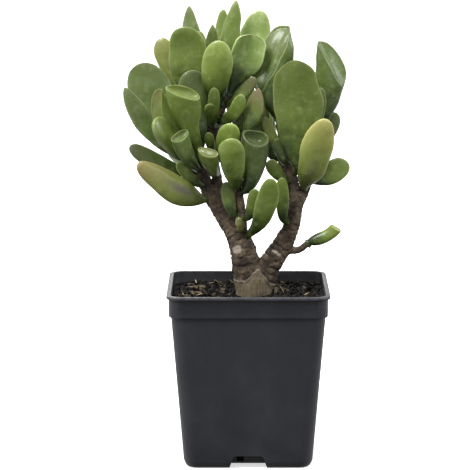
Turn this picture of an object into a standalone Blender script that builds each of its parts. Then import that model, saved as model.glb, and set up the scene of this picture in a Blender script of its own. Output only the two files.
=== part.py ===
"""A potted jade plant in a square plastic nursery pot: its construction model.

The plant is one grown stem with plump leaves. The stem is rooted in the soil, and the soil fills the pot.
All sizes below are in millimetres. The model is built in metres, +Z up, with its origin on the underside of
the pot, at the middle of its floor. +X is to the right and -Y to the front.
"""

import math
from typing import NamedTuple

import bmesh
import bpy
import numpy as np
from mathutils import Vector

MM = 0.001
GAP = 0.3                      # clearance between two pieces that touch

# Pot: a 9 x 9 x 10 cm square nursery pot.
POT_HEIGHT = 100.0
LIP_SIDE = 92.0
LIP_DEPTH = 2.0
BAND_SIDE = 89.4
BAND_DEPTH = 12.5              # from the rim down to the ledge
BODY_TOP_SIDE = 86.8
BODY_FOOT_SIDE = 72.6
WALL = 1.2
CORNER_RADIUS = 8.0
CORNER_POINTS = 5
FOOT_ROUND = 4.0

# Alcoves in the foot of the pot, one in the middle of each side, with a drain hole in each back wall.
ALCOVE_WIDTH = 21.0
ALCOVE_TOP_WIDTH = 17.5
ALCOVE_HEIGHT = 7.5
ALCOVE_DEPTH = 14.0
DRAIN_SIZE = 4.0
DRAIN_OFFSET = 4.5
CUT_PAST = 5.0                 # how far a cutter runs on past the surface that it opens

SOIL_BELOW_RIM = 7.0
SOIL_Z = POT_HEIGHT - SOIL_BELOW_RIM

STEM_SIDES = 10
STEM_RING_STEP = 5.5           # distance between two rings of a shoot
RING_GUIDE = np.array([0.0, 1.0, 0.12])                # a shoot's rings are turned to lie along this
DOME_RINGS = [(1.0, 0.6, 0.8), (1.0, 0.95, 0.3)]       # station, rise and width, as shares of the radius
LEAF_SIDES = 8
LEAF_STATIONS = (0.0, 0.2, 0.42, 0.62, 0.78, 0.9, 0.975)
PETIOLE_WIDTH = 4.2
PETIOLE_THICKNESS = 3.0
LEAF_THICKEST = 0.45           # where along its length a leaf reaches its full thickness
LEAF_REACH = 0.2               # share of its length that a leaf runs straight out from its shoot
LEAF_REACH_MOST = 9.0          # but no more than this
LEAF_RISE = 0.42               # share of its length over which a leaf turns to the way its tip points


class Leaf(NamedTuple):
    """A leaf: where it grows, where its tip is, and its shape."""

    name: str
    shoot: str
    station: float             # 0 at the shoot's root, 1 at its end
    tip: tuple
    width: float
    thickness: float
    facing: float              # degrees: 0 faces the front, 90 the right, 180 the back
    cup: float                 # degrees that the tip's section curls round, towards the facing side
    lift: float                # how far the tip turns upwards, 0 to 1
    broadest: float            # where along its length it is broadest, 0 to 1


# Each shoot's points run from its root to its end, as x, y, z and radius.
SHOOTS = {
    "trunk": [
        (3.4, -3.0, 84.0, 10.0), (3.4, -3.0, 92.3, 10.3), (3.4, -3.0, 98.7, 9.9), (3.8, -3.0, 103.0, 9.3),
        (4.3, -3.0, 106.0, 8.0),
    ],
    "left_limb": [
        (0.5, -3.0, 98.0, 7.4), (-0.6, -3.0, 107.4, 8.1), (-2.1, -3.0, 115.5, 8.0), (-3.5, -3.0, 122.5, 7.3),
        (-6.9, -2.0, 129.8, 6.4), (-12.6, -1.0, 137.2, 5.2), (-17.5, 0.0, 144.5, 4.7),
        (-21.8, 1.0, 151.9, 4.3), (-25.2, 2.0, 159.2, 3.8), (-28.1, 3.0, 167.2, 3.3),
        (-32.0, 4.0, 174.5, 2.8), (-35.5, 4.0, 180.3, 2.4),
    ],
    "left_twig": [
        (-25.8, 3.0, 160.8, 3.0), (-27.5, 8.0, 171.7, 2.7), (-29.9, 11.0, 184.0, 2.5),
        (-32.0, 12.0, 194.3, 2.3),
    ],
    "crown_twig": [
        (-16.0, 1.0, 143.8, 3.4), (-16.7, 6.0, 154.7, 3.0), (-19.0, 8.0, 167.7, 2.7),
        (-19.5, 9.0, 180.3, 2.5), (-18.4, 9.0, 191.2, 2.4), (-15.0, 8.0, 199.9, 2.3),
        (-10.9, 7.0, 206.9, 2.2),
    ],
    "upper_twig": [
        (-19.5, 9.0, 177.4, 2.5), (-22.4, 12.0, 188.2, 2.4), (-24.2, 13.5, 197.2, 2.3),
        (-24.6, 14.0, 205.0, 2.2),
    ],
    "middle_twig": [
        (-4.1, -4.0, 126.0, 3.2), (-3.2, -7.0, 135.8, 2.7), (-4.1, -7.0, 145.0, 2.5),
        (-5.2, -6.0, 155.0, 2.4), (-4.7, -5.0, 166.5, 2.3), (-3.0, -4.0, 176.6, 2.2),
        (-1.8, -3.0, 183.4, 2.1),
    ],
    "right_limb": [
        (6.2, -3.0, 98.0, 7.2), (10.3, -2.0, 107.2, 7.0), (14.8, -2.0, 115.3, 6.5), (20.0, -1.0, 123.3, 5.8),
        (23.4, 0.0, 130.0, 5.1), (25.7, 0.0, 137.6, 4.5), (26.8, 1.0, 145.5, 4.3), (26.2, 2.0, 154.0, 3.8),
        (24.5, 3.0, 163.7, 3.2), (22.2, 4.0, 174.0, 2.8), (19.9, 5.0, 182.5, 2.5), (18.2, 6.0, 189.2, 2.3),
    ],
    "right_twig": [
        (26.8, 1.0, 142.7, 3.7), (30.9, 5.0, 150.8, 3.4), (34.3, 7.0, 159.2, 3.1), (37.8, 9.0, 169.3, 2.8),
        (40.6, 10.0, 179.0, 2.5), (42.3, 10.0, 185.9, 2.3),
    ],
    "side_twig": [(20.5, -2.0, 120.0, 2.6), (28.5, -4.0, 120.3, 2.1), (33.6, -5.0, 123.9, 1.9)],
    "back_twig": [
        (-6.9, 0.0, 128.9, 3.8), (-8.0, 14.0, 140.8, 3.3), (-6.3, 24.0, 152.8, 3.0),
        (-4.6, 31.0, 165.4, 2.6), (-2.8, 35.0, 176.6, 2.3),
    ],
    "back_left_twig": [
        (-22.9, 2.0, 154.0, 3.5), (-25.4, 16.0, 162.6, 3.0), (-27.8, 25.0, 173.0, 2.6),
        (-29.0, 30.0, 183.0, 2.3),
    ],
    "back_right_twig": [
        (26.2, 1.0, 140.3, 3.6), (23.6, 15.0, 148.8, 3.1), (20.9, 24.0, 160.4, 2.7),
        (19.2, 29.0, 172.7, 2.3),
    ],
}

LEAVES = [Leaf(*row) for row in (
    # name, shoot, station, tip (x, y, z), width, thickness, facing, cup, lift, broadest
    ("leaf_left_01", "left_limb", 1.00, (-62, 6, 226), 22, 6.5, 0, -20, 0.35, 0.70),
    ("leaf_left_02", "left_limb", 0.94, (-70, -9, 214), 13, 6.5, 10, 30, 0.50, 0.70),
    ("leaf_left_03", "left_limb", 0.97, (-50, -9, 212), 11, 6.5, -30, 30, 0.45, 0.80),
    ("leaf_left_04", "left_limb", 0.89, (-53, -24, 193), 13, 7, 50, 20, 0.10, 0.72),
    ("leaf_left_05", "left_limb", 0.86, (-38.5, -19, 216), 21, 5.5, 0, -90, 0.50, 0.90),
    ("leaf_left_06", "left_twig", 0.48, (-32, 1, 223), 15, 6, 10, -25, 0.60, 0.72),
    ("leaf_left_07", "left_twig", 1.00, (-50, 15, 240), 11, 7, -10, 20, 0.35, 0.80),
    ("leaf_left_08", "left_limb", 0.82, (-66, -12, 179), 10, 6, 0, 20, 0.25, 0.70),
    ("leaf_left_09", "left_limb", 0.64, (-61, -26, 171), 16, 7.5, 5, -15, 0.20, 0.60),
    ("leaf_left_10", "left_limb", 0.73, (-40, -17, 172), 6.5, 4.5, 0, 10, 0.20, 0.70),
    ("leaf_left_11", "left_limb", 0.82, (-38, -26, 188), 10, 4.5, 0, 60, 0.40, 0.85),
    ("leaf_left_12", "crown_twig", 0.51, (-22.5, -8, 188), 5.5, 4.5, 0, -10, 0.50, 0.75),
    ("leaf_crown_01", "upper_twig", 0.93, (-37, 6, 246), 20, 7, 0, -15, 0.50, 0.70),
    ("leaf_crown_02", "upper_twig", 0.84, (-34, 32, 257), 12, 6, 0, 10, 0.60, 0.50),
    ("leaf_crown_03", "upper_twig", 1.00, (-27.5, 25.5, 243), 8, 5, 0, 0, 0.40, 0.70),
    ("leaf_crown_04", "crown_twig", 0.86, (-19.5, 16, 248), 7.5, 5, 0, 10, 0.60, 0.55),
    ("leaf_crown_05", "crown_twig", 0.92, (-16.5, -6, 240), 18, 7, 0, -20, 0.60, 0.68),
    ("leaf_crown_06", "crown_twig", 0.98, (-7.5, 25, 261), 10, 6, 0, -10, 0.50, 0.65),
    ("leaf_crown_07", "crown_twig", 0.80, (-14, 34, 255), 9, 6, 0, 0, 0.50, 0.70),
    ("leaf_crown_08", "crown_twig", 0.93, (6, 34, 254), 17, 6.5, 0, -15, 0.60, 0.72),
    ("leaf_crown_09", "crown_twig", 1.00, (1, 6, 243), 22, 5, -15, 90, 0.40, 0.88),
    ("leaf_crown_10", "crown_twig", 0.96, (4, -3, 220), 9, 5.5, -20, 10, 0.30, 0.70),
    ("leaf_crown_11", "crown_twig", 0.78, (-6, -8, 210), 8, 5, 0, 10, 0.40, 0.70),
    ("leaf_crown_12", "crown_twig", 0.73, (-19, -5, 213), 7, 5, 0, 0, 0.50, 0.75),
    ("leaf_crown_13", "crown_twig", 0.62, (-22, -7, 202), 7, 5, 0, 0, 0.50, 0.75),
    ("leaf_middle_01", "middle_twig", 1.00, (5, -5, 213), 10, 5.5, -20, 20, 0.50, 0.65),
    ("leaf_middle_02", "middle_twig", 0.94, (9, 6, 201), 9, 5.5, 0, 0, 0.50, 0.70),
    ("leaf_middle_03", "middle_twig", 0.53, (-10, -25, 187), 15, 6.5, 0, -30, 0.50, 0.82),
    ("leaf_middle_04", "crown_twig", 0.43, (-11, -13, 194), 12, 5.5, 0, -20, 0.50, 0.75),
    ("leaf_middle_05", "crown_twig", 0.30, (-22, -23, 180), 11.5, 6, -20, 20, 0.40, 0.85),
    ("leaf_middle_06", "middle_twig", 0.66, (3, -11, 188), 24, 4.5, 10, 150, 0.50, 0.88),
    ("leaf_middle_07", "middle_twig", 0.27, (-13, -9, 160), 8, 5.5, 0, 0, 0.40, 0.70),
    ("leaf_middle_08", "middle_twig", 0.24, (4, -16, 157), 8, 5.5, 0, 0, 0.50, 0.70),
    ("leaf_middle_09", "left_limb", 0.26, (11, -22, 163), 13, 6.5, 10, -10, 0.60, 0.70),
    ("leaf_right_01", "right_limb", 1.00, (15, 9, 246), 22, 6.5, -25, 45, 0.50, 0.70),
    ("leaf_right_02", "right_limb", 0.73, (26, -11, 230), 29, 7.5, 0, -20, 0.70, 0.70),
    ("leaf_right_03", "right_twig", 1.00, (48, 8, 238), 21, 6, -30, 60, 0.40, 0.72),
    ("leaf_right_04", "right_twig", 0.69, (41, 3, 213), 9, 6, 0, 0, 0.50, 0.70),
    ("leaf_right_05", "right_twig", 0.30, (42, -24, 197), 19, 7.5, 5, -15, 0.60, 0.65),
    ("leaf_right_06", "right_twig", 0.42, (57, 3, 168), 13, 6.5, 0, 15, 0.35, 0.68),
    ("leaf_right_07", "right_twig", 0.88, (50, 17, 197), 9, 6, 0, 0, 0.50, 0.70),
    ("leaf_right_08", "right_limb", 0.69, (8, -8, 172), 10.5, 7, 0, 0, 0.20, 0.75),
    ("leaf_right_09", "right_limb", 0.44, (19, -12, 163), 8, 5.5, 0, 0, 0.50, 0.70),
    ("leaf_right_10", "right_limb", 0.90, (11, -2, 194), 7.5, 5, -10, 15, 0.50, 0.70),
    ("leaf_right_11", "right_limb", 0.80, (14, -6, 184), 7, 5, 0, 0, 0.50, 0.70),
    ("leaf_side_01", "side_twig", 1.00, (49, -8, 135), 8, 5.5, 0, 0, 0.20, 0.80),
    ("leaf_back_01", "back_twig", 1.00, (-5, 47, 217), 17, 7, 180, 20, 0.50, 0.70),
    ("leaf_back_02", "back_twig", 0.96, (-20, 54, 196), 15, 7, 180, 20, 0.50, 0.70),
    ("leaf_back_03", "back_twig", 0.88, (12, 60, 190), 15, 7, 180, 20, 0.50, 0.70),
    ("leaf_back_04", "back_twig", 0.74, (-8, 60, 178), 13, 6.5, 180, 10, 0.40, 0.70),
    ("leaf_back_05", "back_left_twig", 1.00, (-48, 38, 205), 16, 7, 180, 20, 0.50, 0.70),
    ("leaf_back_06", "back_left_twig", 0.91, (-32, 50, 208), 14, 7, 180, 20, 0.50, 0.70),
    ("leaf_back_07", "back_left_twig", 0.67, (-46, 46, 176), 13, 6.5, 180, 10, 0.40, 0.70),
    ("leaf_back_08", "back_right_twig", 1.00, (29, 40, 209), 17, 7, 180, 20, 0.50, 0.70),
    ("leaf_back_09", "back_right_twig", 0.92, (9, 38, 205), 11, 6.5, 180, 20, 0.50, 0.70),
    ("leaf_back_10", "back_right_twig", 0.73, (38, 50, 180), 14, 6.5, 180, 10, 0.40, 0.70),
    ("leaf_back_11", "right_twig", 0.72, (40, 36, 204), 14, 6.5, 180, 10, 0.50, 0.70),
)]


def make_material(name, colour, roughness):
    """Return a Principled material with a plain colour."""
    material = bpy.data.materials.new(name)
    material.use_nodes = True
    shader = material.node_tree.nodes["Principled BSDF"]
    shader.inputs["Base Color"].default_value = (*colour, 1.0)
    shader.inputs["Roughness"].default_value = roughness
    shader.inputs["Metallic"].default_value = 0.0
    material.diffuse_color = (*colour, 1.0)
    return material


def add_object(name, bm, material=None, smooth_angle=40.0):
    """Turn a bmesh in millimetres into an object in metres, with smooth shading up to an angle."""
    bmesh.ops.recalc_face_normals(bm, faces=bm.faces)
    if bm.calc_volume(signed=True) < 0:
        bmesh.ops.reverse_faces(bm, faces=bm.faces)
    bmesh.ops.scale(bm, vec=Vector((MM, MM, MM)), verts=bm.verts)
    mesh = bpy.data.meshes.new(name)
    bm.to_mesh(mesh)
    bm.free()
    mesh.shade_smooth()
    mesh.set_sharp_from_angle(angle=math.radians(smooth_angle))
    if material:
        mesh.materials.append(material)
    obj = bpy.data.objects.new(name, mesh)
    bpy.context.scene.collection.objects.link(obj)
    return obj


def hide_cutter(obj):
    """Keep a cutter out of the finished model."""
    obj.hide_render = True
    obj.display_type = "WIRE"
    return obj


def add_boolean(obj, other, operation):
    """Cut an object by another one, or join the two."""
    modifier = obj.modifiers.new(other.name, "BOOLEAN")
    modifier.object = other
    modifier.operation = operation
    modifier.solver = "EXACT"


def loft(rings):
    """Return a closed bmesh through rings of points, with a flat cap on the first and the last ring."""
    bm = bmesh.new()
    loops = [[bm.verts.new(point) for point in ring] for ring in rings]
    count = len(loops[0])
    for lower, upper in zip(loops, loops[1:]):
        for i in range(count):
            j = (i + 1) % count
            bm.faces.new((lower[i], lower[j], upper[j], upper[i]))
    bm.faces.new(reversed(loops[0]))
    bm.faces.new(loops[-1])
    return bm


def rounded_square(side, height, radius=CORNER_RADIUS):
    """Return the points of a square with round corners, centred on the Z axis."""
    points = []
    reach = side / 2 - radius
    for corner in range(4):
        middle = math.radians(45 + 90 * corner)
        centre_x = math.copysign(reach, math.cos(middle))
        centre_y = math.copysign(reach, math.sin(middle))
        for step in range(CORNER_POINTS):
            angle = math.radians(90 * corner + 90 * step / (CORNER_POINTS - 1))
            x = centre_x + radius * math.cos(angle)
            y = centre_y + radius * math.sin(angle)
            points.append((x, y, height))
    return points


def body_side(height):
    """Return the side of the tapered body of the pot at a height."""
    return BODY_FOOT_SIDE + (BODY_TOP_SIDE - BODY_FOOT_SIDE) * height / (POT_HEIGHT - BAND_DEPTH)


def pot_outside():
    """Return the rings of the outside of the pot: foot, body, ledge, band and lip."""
    ledge = POT_HEIGHT - BAND_DEPTH
    lip = POT_HEIGHT - LIP_DEPTH
    return [
        rounded_square(body_side(0) - 1.5 * FOOT_ROUND, 0.0, CORNER_RADIUS - 3.0),
        rounded_square(body_side(0) - 0.5 * FOOT_ROUND, 0.25 * FOOT_ROUND, CORNER_RADIUS - 1.0),
        rounded_square(body_side(FOOT_ROUND), FOOT_ROUND),
        rounded_square(body_side(ledge), ledge),
        rounded_square(BAND_SIDE - 0.2, ledge + 0.5),
        rounded_square(BAND_SIDE, lip),
        rounded_square(LIP_SIDE - 0.6, lip + 0.1),
        rounded_square(LIP_SIDE, lip + 0.7),
        rounded_square(LIP_SIDE, POT_HEIGHT - 0.6),
        rounded_square(LIP_SIDE - 1.2, POT_HEIGHT),
    ]


def pot_inside(inset, top):
    """Return the rings of the hollow of the pot, made smaller all round by an inset, up to a height."""
    floor = WALL + inset
    thick = 2 * floor
    step = POT_HEIGHT - BAND_DEPTH + floor
    corner = CORNER_RADIUS - WALL - inset
    return [
        rounded_square(body_side(floor) - thick - 2 * FOOT_ROUND, floor, corner - 2.0),
        rounded_square(body_side(FOOT_ROUND) - thick, FOOT_ROUND + floor, corner),
        rounded_square(BODY_TOP_SIDE - thick, step, corner),
        rounded_square(BAND_SIDE - thick - 0.4, step + 0.8, corner),
        rounded_square(BAND_SIDE - thick, top, corner),
    ]


def foot_cutter(name, side, section, back, face):
    """Return a block for side 0 to 3 of the pot: a section of (across, height) points, from back to face."""
    turn = math.radians(90 * side)
    rings = []
    for depth in (back, face):
        ring = []
        for across, height in section:
            x = across * math.cos(turn) + depth * math.sin(turn)
            y = across * math.sin(turn) - depth * math.cos(turn)
            ring.append((x, y, height))
        rings.append(ring)
    return hide_cutter(add_object(name, loft(rings)))


def alcove_block(name, side, margin):
    """Return the block of one alcove, grown by a margin."""
    half_low = ALCOVE_WIDTH / 2 + margin
    half_high = ALCOVE_TOP_WIDTH / 2 + margin
    top = ALCOVE_HEIGHT + margin
    below = half_low + (half_low - half_high) * CUT_PAST / top
    section = ((below, -CUT_PAST), (half_high, top), (-half_high, top), (-below, -CUT_PAST))
    middle = body_side(0) / 2
    return foot_cutter(name, side, section, middle - ALCOVE_DEPTH - margin, middle + CUT_PAST)


def drain_block(name, side):
    """Return the block that cuts the drain hole through the back wall of an alcove."""
    right = -DRAIN_OFFSET + DRAIN_SIZE / 2
    left = right - DRAIN_SIZE
    top = WALL + DRAIN_SIZE
    section = ((right, WALL), (right, top), (left, top), (left, WALL))
    wall_face = body_side(0) / 2 - ALCOVE_DEPTH
    return foot_cutter(name, side, section, wall_face - 2 * WALL, wall_face + WALL)


def make_pot(material):
    """Model the pot: a thin tapered shell with four alcoves and drain holes in its foot."""
    pot = add_object("pot", loft(pot_outside()), material, smooth_angle=30.0)
    hollow = hide_cutter(add_object("cut_hollow", loft(pot_inside(0.0, POT_HEIGHT + CUT_PAST))))
    add_boolean(pot, hollow, "DIFFERENCE")
    for side in range(4):
        add_boolean(hollow, alcove_block(f"cut_alcove_shell_{side}", side, WALL), "DIFFERENCE")
        add_boolean(pot, alcove_block(f"cut_alcove_{side}", side, 0.0), "DIFFERENCE")
        add_boolean(pot, drain_block(f"cut_drain_{side}", side), "DIFFERENCE")
    return pot


def smooth_path(points, per_span=12):
    """Return many points on a smooth curve (Catmull-Rom) through a few points of any dimension."""
    points = np.asarray(points, dtype=float)
    ends = np.vstack([2 * points[0] - points[1], points, 2 * points[-1] - points[-2]])
    curve = []
    for a, b, c, d in zip(ends, ends[1:], ends[2:], ends[3:]):
        for t in np.linspace(0.0, 1.0, per_span, endpoint=False):
            cubic = (3 * b - a - 3 * c + d) * t ** 3
            square = (2 * a - 5 * b + 4 * c - d) * t ** 2
            curve.append(0.5 * (2 * b + (c - a) * t + square + cubic))
    curve.append(points[-1])
    return np.array(curve)


class Shoot:
    """A shoot as a smooth curve with a radius, measured along its length."""

    def __init__(self, points):
        self.curve = smooth_path(points)
        steps = np.linalg.norm(np.diff(self.curve[:, :3], axis=0), axis=1)
        self.along = np.concatenate([[0.0], np.cumsum(steps)])
        self.length = self.along[-1]

    def at(self, station):
        """Return the centre, direction and radius at a station from 0 to 1."""
        distance = station * self.length
        values = [np.interp(distance, self.along, self.curve[:, k]) for k in range(4)]
        index = int(np.clip(np.searchsorted(self.along, distance), 1, len(self.along) - 1))
        direction = self.curve[index, :3] - self.curve[index - 1, :3]
        return np.array(values[:3]), direction / np.linalg.norm(direction), values[3]


def cross_axes(direction, guide):
    """Return two unit vectors across a direction, the second one lying as near the guide as it can."""
    across = np.cross(direction, guide)
    across = across / np.linalg.norm(across)
    return across, np.cross(across, direction)


def shoot_rings(shoot, margin=0.0):
    """Return the rings of a shoot, closed by a small dome at its end."""
    count = max(3, int(round(shoot.length / STEM_RING_STEP)) + 1)
    angles = np.arange(STEM_SIDES) * 2 * math.pi / STEM_SIDES
    places = [(station, 0.0, 1.0) for station in np.linspace(0.0, 1.0, count)]
    rings = []
    for station, rise, swell in places + DOME_RINGS:
        centre, direction, radius = shoot.at(station)
        across, back = cross_axes(direction, RING_GUIDE)
        spokes = np.outer(np.cos(angles), across) + np.outer(np.sin(angles), back)
        rings.append(centre + direction * radius * rise + (radius * swell + margin) * spokes)
    return rings


def make_stem(material, shoots):
    """Model the stem: every shoot is a tapered tube, and all the tubes are joined into one piece."""
    stem = add_object("stem", loft(shoot_rings(shoots["trunk"])), material)
    for name, shoot in shoots.items():
        if name == "trunk":
            continue
        tube = hide_cutter(add_object(f"join_{name}", loft(shoot_rings(shoot))))
        add_boolean(stem, tube, "UNION")
    return stem


def make_soil(material, shoots):
    """Model the soil, which fills the pot up to its level around the root of the stem."""
    soil = add_object("soil", loft(pot_inside(GAP, SOIL_Z)), material, smooth_angle=30.0)
    for side in range(4):
        add_boolean(soil, alcove_block(f"cut_soil_{side}", side, WALL + GAP), "DIFFERENCE")
    root = hide_cutter(add_object("cut_root", loft(root_rings(shoots["trunk"]))))
    add_boolean(soil, root, "DIFFERENCE")
    return soil


def root_rings(trunk):
    """Return the rings of the hole that the root leaves in the soil."""
    rings = shoot_rings(trunk, GAP)[:4]
    below = [point - np.array([0.0, 0.0, GAP]) for point in rings[0]]
    return [below] + rings[1:]


def leaf_seat(shoot, leaf):
    """Return where a leaf's base sits on its shoot, and the direction it grows out in."""
    centre, direction, radius = shoot.at(leaf.station)
    towards = np.array(leaf.tip, dtype=float) - centre
    if leaf.station < 1.0:
        towards = towards - direction * towards.dot(direction)
    outward = towards / np.linalg.norm(towards)
    return centre + outward * (radius + GAP), outward


def leaf_spine(shoot, leaf):
    """Return the four control points of the curve that runs through the middle of a leaf."""
    base, outward = leaf_seat(shoot, leaf)
    tip = np.array(leaf.tip, dtype=float)
    chord = tip - base
    length = np.linalg.norm(chord)
    rising = (1 - leaf.lift) * chord / length + leaf.lift * np.array([0.0, 0.0, 1.0])
    rising = rising / np.linalg.norm(rising)
    reach = min(LEAF_REACH * length, LEAF_REACH_MOST)
    return base, base + reach * outward, tip - LEAF_RISE * length * rising, tip


def leaf_profile(t, broadest):
    """Return how broad and how thick a leaf is at t along it, as shares of its full width and thickness.

    The blade swells from the petiole to the broadest place and closes in a round end, the root of
    one minus the 2.4th power of the way from there to the tip.
    """
    swell = math.sin(min(t / broadest, 1.0) * math.pi / 2) ** 2
    plump = math.sin(min(t / LEAF_THICKEST, 1.0) * math.pi / 2)
    past = max(t - broadest, 0.0) / (1 - broadest)
    closing = math.sqrt(max(1 - past ** 2.4, 0.0))
    thinning = 1 - 0.3 * past
    return swell, plump, closing, thinning


def leaf_rings(shoot, leaf):
    """Return the rings of a leaf, from its base to just short of its tip.

    A ring is an ellipse whose long axis is bent into an arc. The arc's angle grows to the cup angle where
    the leaf is broadest. Both the reach along the arc and the rise of the arc are written with sinc, which
    also holds for a leaf with no cup.
    """
    p0, p1, p2, p3 = leaf_spine(shoot, leaf)
    turn = math.radians(leaf.facing)
    facing = np.array([math.sin(turn), -math.cos(turn), 0.35])
    angles = np.arange(LEAF_SIDES) * 2 * math.pi / LEAF_SIDES
    rings = []
    for t in LEAF_STATIONS:
        s = 1 - t
        centre = s ** 3 * p0 + 3 * s * s * t * p1 + 3 * s * t * t * p2 + t ** 3 * p3
        direction = s * s * (p1 - p0) + 2 * s * t * (p2 - p1) + t * t * (p3 - p2)
        direction = direction / np.linalg.norm(direction)
        across, normal = cross_axes(direction, facing)
        swell, plump, closing, thinning = leaf_profile(t, leaf.broadest)
        width = PETIOLE_WIDTH + (leaf.width - PETIOLE_WIDTH) * swell
        thickness = PETIOLE_THICKNESS + (leaf.thickness - PETIOLE_THICKNESS) * plump
        half_width = width * closing / 2
        half_thick = thickness * closing * thinning / 2
        half_curl = math.radians(leaf.cup) * swell * swell / 2
        ring = []
        for angle in angles:
            bend = half_curl * math.cos(angle)
            reach = half_width * math.cos(angle)
            sideways = reach * np.sinc(bend / math.pi)
            rise = reach * math.sin(bend / 2) * np.sinc(bend / 2 / math.pi)
            lens = half_thick * math.sin(angle)
            sideways -= lens * math.sin(bend)
            rise += lens * math.cos(bend)
            ring.append(centre + sideways * across + rise * normal)
        rings.append(ring)
    return rings


def make_leaf(leaf, shoots, material):
    """Model one leaf as a closed solid seated on its shoot."""
    bm = bmesh.new()
    loops = [[bm.verts.new(point) for point in ring] for ring in leaf_rings(shoots[leaf.shoot], leaf)]
    end = bm.verts.new(leaf.tip)
    for lower, upper in zip(loops, loops[1:]):
        for i in range(LEAF_SIDES):
            j = (i + 1) % LEAF_SIDES
            bm.faces.new((lower[i], lower[j], upper[j], upper[i]))
    for i in range(LEAF_SIDES):
        bm.faces.new((loops[-1][i], loops[-1][(i + 1) % LEAF_SIDES], end))
    bm.faces.new(reversed(loops[0]))
    return add_object(leaf.name, bm, material, smooth_angle=60.0)


def main():
    """Build the pot, the soil, the stem and the leaves."""
    for obj in list(bpy.data.objects):
        bpy.data.objects.remove(obj, do_unlink=True)
    shoots = {name: Shoot(points) for name, points in SHOOTS.items()}
    plastic = make_material("pot_plastic", (0.032, 0.032, 0.038), 0.45)
    earth = make_material("soil_mix", (0.045, 0.03, 0.022), 0.95)
    bark = make_material("stem_bark", (0.23, 0.17, 0.12), 0.85)
    green = make_material("leaf_green", (0.16, 0.3, 0.07), 0.4)
    make_pot(plastic)
    make_soil(earth, shoots)
    make_stem(bark, shoots)
    for leaf in LEAVES:
        make_leaf(leaf, shoots, green)


main()
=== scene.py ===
"""The looks of a potted jade plant: plump leaves, ringed bark, potting mix and a moulded nursery pot.

Every shape is worked out with numpy in millimetres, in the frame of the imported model, and is turned into
metres when its mesh is made. The shoots are those of the construction model, and the leaves are close to
its leaves.
"""

import logging
import math
from dataclasses import dataclass, field
from enum import Enum
from typing import Dict, Optional, Sequence, Tuple, Union

import bpy
import numpy as np
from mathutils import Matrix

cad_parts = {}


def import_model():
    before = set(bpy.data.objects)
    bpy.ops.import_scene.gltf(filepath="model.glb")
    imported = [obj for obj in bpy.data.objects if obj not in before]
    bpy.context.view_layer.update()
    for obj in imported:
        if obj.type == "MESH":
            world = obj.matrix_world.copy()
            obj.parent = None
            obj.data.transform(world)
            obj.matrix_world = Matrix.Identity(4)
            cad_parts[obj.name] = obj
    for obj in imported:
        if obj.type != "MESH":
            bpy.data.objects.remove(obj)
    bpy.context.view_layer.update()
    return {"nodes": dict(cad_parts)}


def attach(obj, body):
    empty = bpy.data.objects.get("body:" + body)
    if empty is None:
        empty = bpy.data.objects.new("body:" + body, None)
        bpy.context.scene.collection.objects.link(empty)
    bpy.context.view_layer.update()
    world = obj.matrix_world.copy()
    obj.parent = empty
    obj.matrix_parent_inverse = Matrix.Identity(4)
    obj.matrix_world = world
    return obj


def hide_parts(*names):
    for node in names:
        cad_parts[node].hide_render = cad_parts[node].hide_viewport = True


LOG = logging.getLogger("jade_plant")

MM = 0.001
STEM_X, STEM_Y = 3.4, -3.0
WHITE = (1.0, 1.0, 1.0)

Colour = Tuple[float, float, float]
Number = Union[int, float]


# --- Shader maths ---


class Field:
    """A number that varies over a surface: a shader socket whose arithmetic adds Math nodes."""

    def __init__(self, nodes: "Nodes", socket: bpy.types.NodeSocket) -> None:
        """Wrap an output socket of a node tree."""
        self.nodes = nodes
        self.socket = socket

    def _math(self, operation: str, first: object, second: object) -> "Field":
        """Return the result of one Math node on two values, each a Field or a number."""
        made = self.nodes.node("ShaderNodeMath", {"operation": operation}, {0: first, 1: second}, 0)
        return Field(self.nodes, made)

    def __add__(self, other: object) -> "Field":
        """Add."""
        return self._math("ADD", self, other)

    __radd__ = __add__

    def __sub__(self, other: object) -> "Field":
        """Subtract."""
        return self._math("SUBTRACT", self, other)

    def __rsub__(self, other: object) -> "Field":
        """Subtract from."""
        return self._math("SUBTRACT", other, self)

    def __mul__(self, other: object) -> "Field":
        """Multiply."""
        return self._math("MULTIPLY", self, other)

    __rmul__ = __mul__

    def step(self, low: Number, high: Number) -> "Field":
        """Rise smoothly from 0 at low to 1 at high, or fall where low is the larger.

        Args:
            low: The value that gives 0.
            high: The value that gives 1.

        Returns:
            The smooth step.
        """
        ends = (low, high, 0.0, 1.0) if low < high else (high, low, 1.0, 0.0)
        values = {0: self, **dict(enumerate(ends, start=1))}
        settings = {"interpolation_type": "SMOOTHSTEP"}
        return Field(self.nodes, self.nodes.node("ShaderNodeMapRange", settings, values, 0))


class Nodes:
    """A node tree, with one method that adds any node."""

    def __init__(self, tree: bpy.types.NodeTree) -> None:
        """Take a node tree."""
        self.tree = tree

    def node(self, kind: str, settings: Dict[str, object], values: Dict[object, object],
             output: object) -> bpy.types.NodeSocket:
        """Add any node.

        Args:
            kind: Blender's name of the node's type.
            settings: The node's own properties, set before its sockets.
            values: Numbers, colours, Fields or sockets for its inputs, by index or name.
            output: The index or the name of the output to return.

        Returns:
            The output socket.
        """
        made = self.tree.nodes.new(kind)
        for name, value in settings.items():
            setattr(made, name, value)
        for key, value in values.items():
            self.feed(made.inputs[key], value)
        return made.outputs[output]

    def feed(self, target: bpy.types.NodeSocket, value: object) -> None:
        """Link a Field or a socket to an input, or set a plain value on it.

        Args:
            target: The input.
            value: What it is given.
        """
        if isinstance(value, Field):
            value = value.socket
        if isinstance(value, bpy.types.NodeSocket):
            self.tree.links.new(value, target)
        elif target.type == "RGBA" and len(value) == 3:
            target.default_value = (*value, 1.0)
        else:
            target.default_value = value


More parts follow.
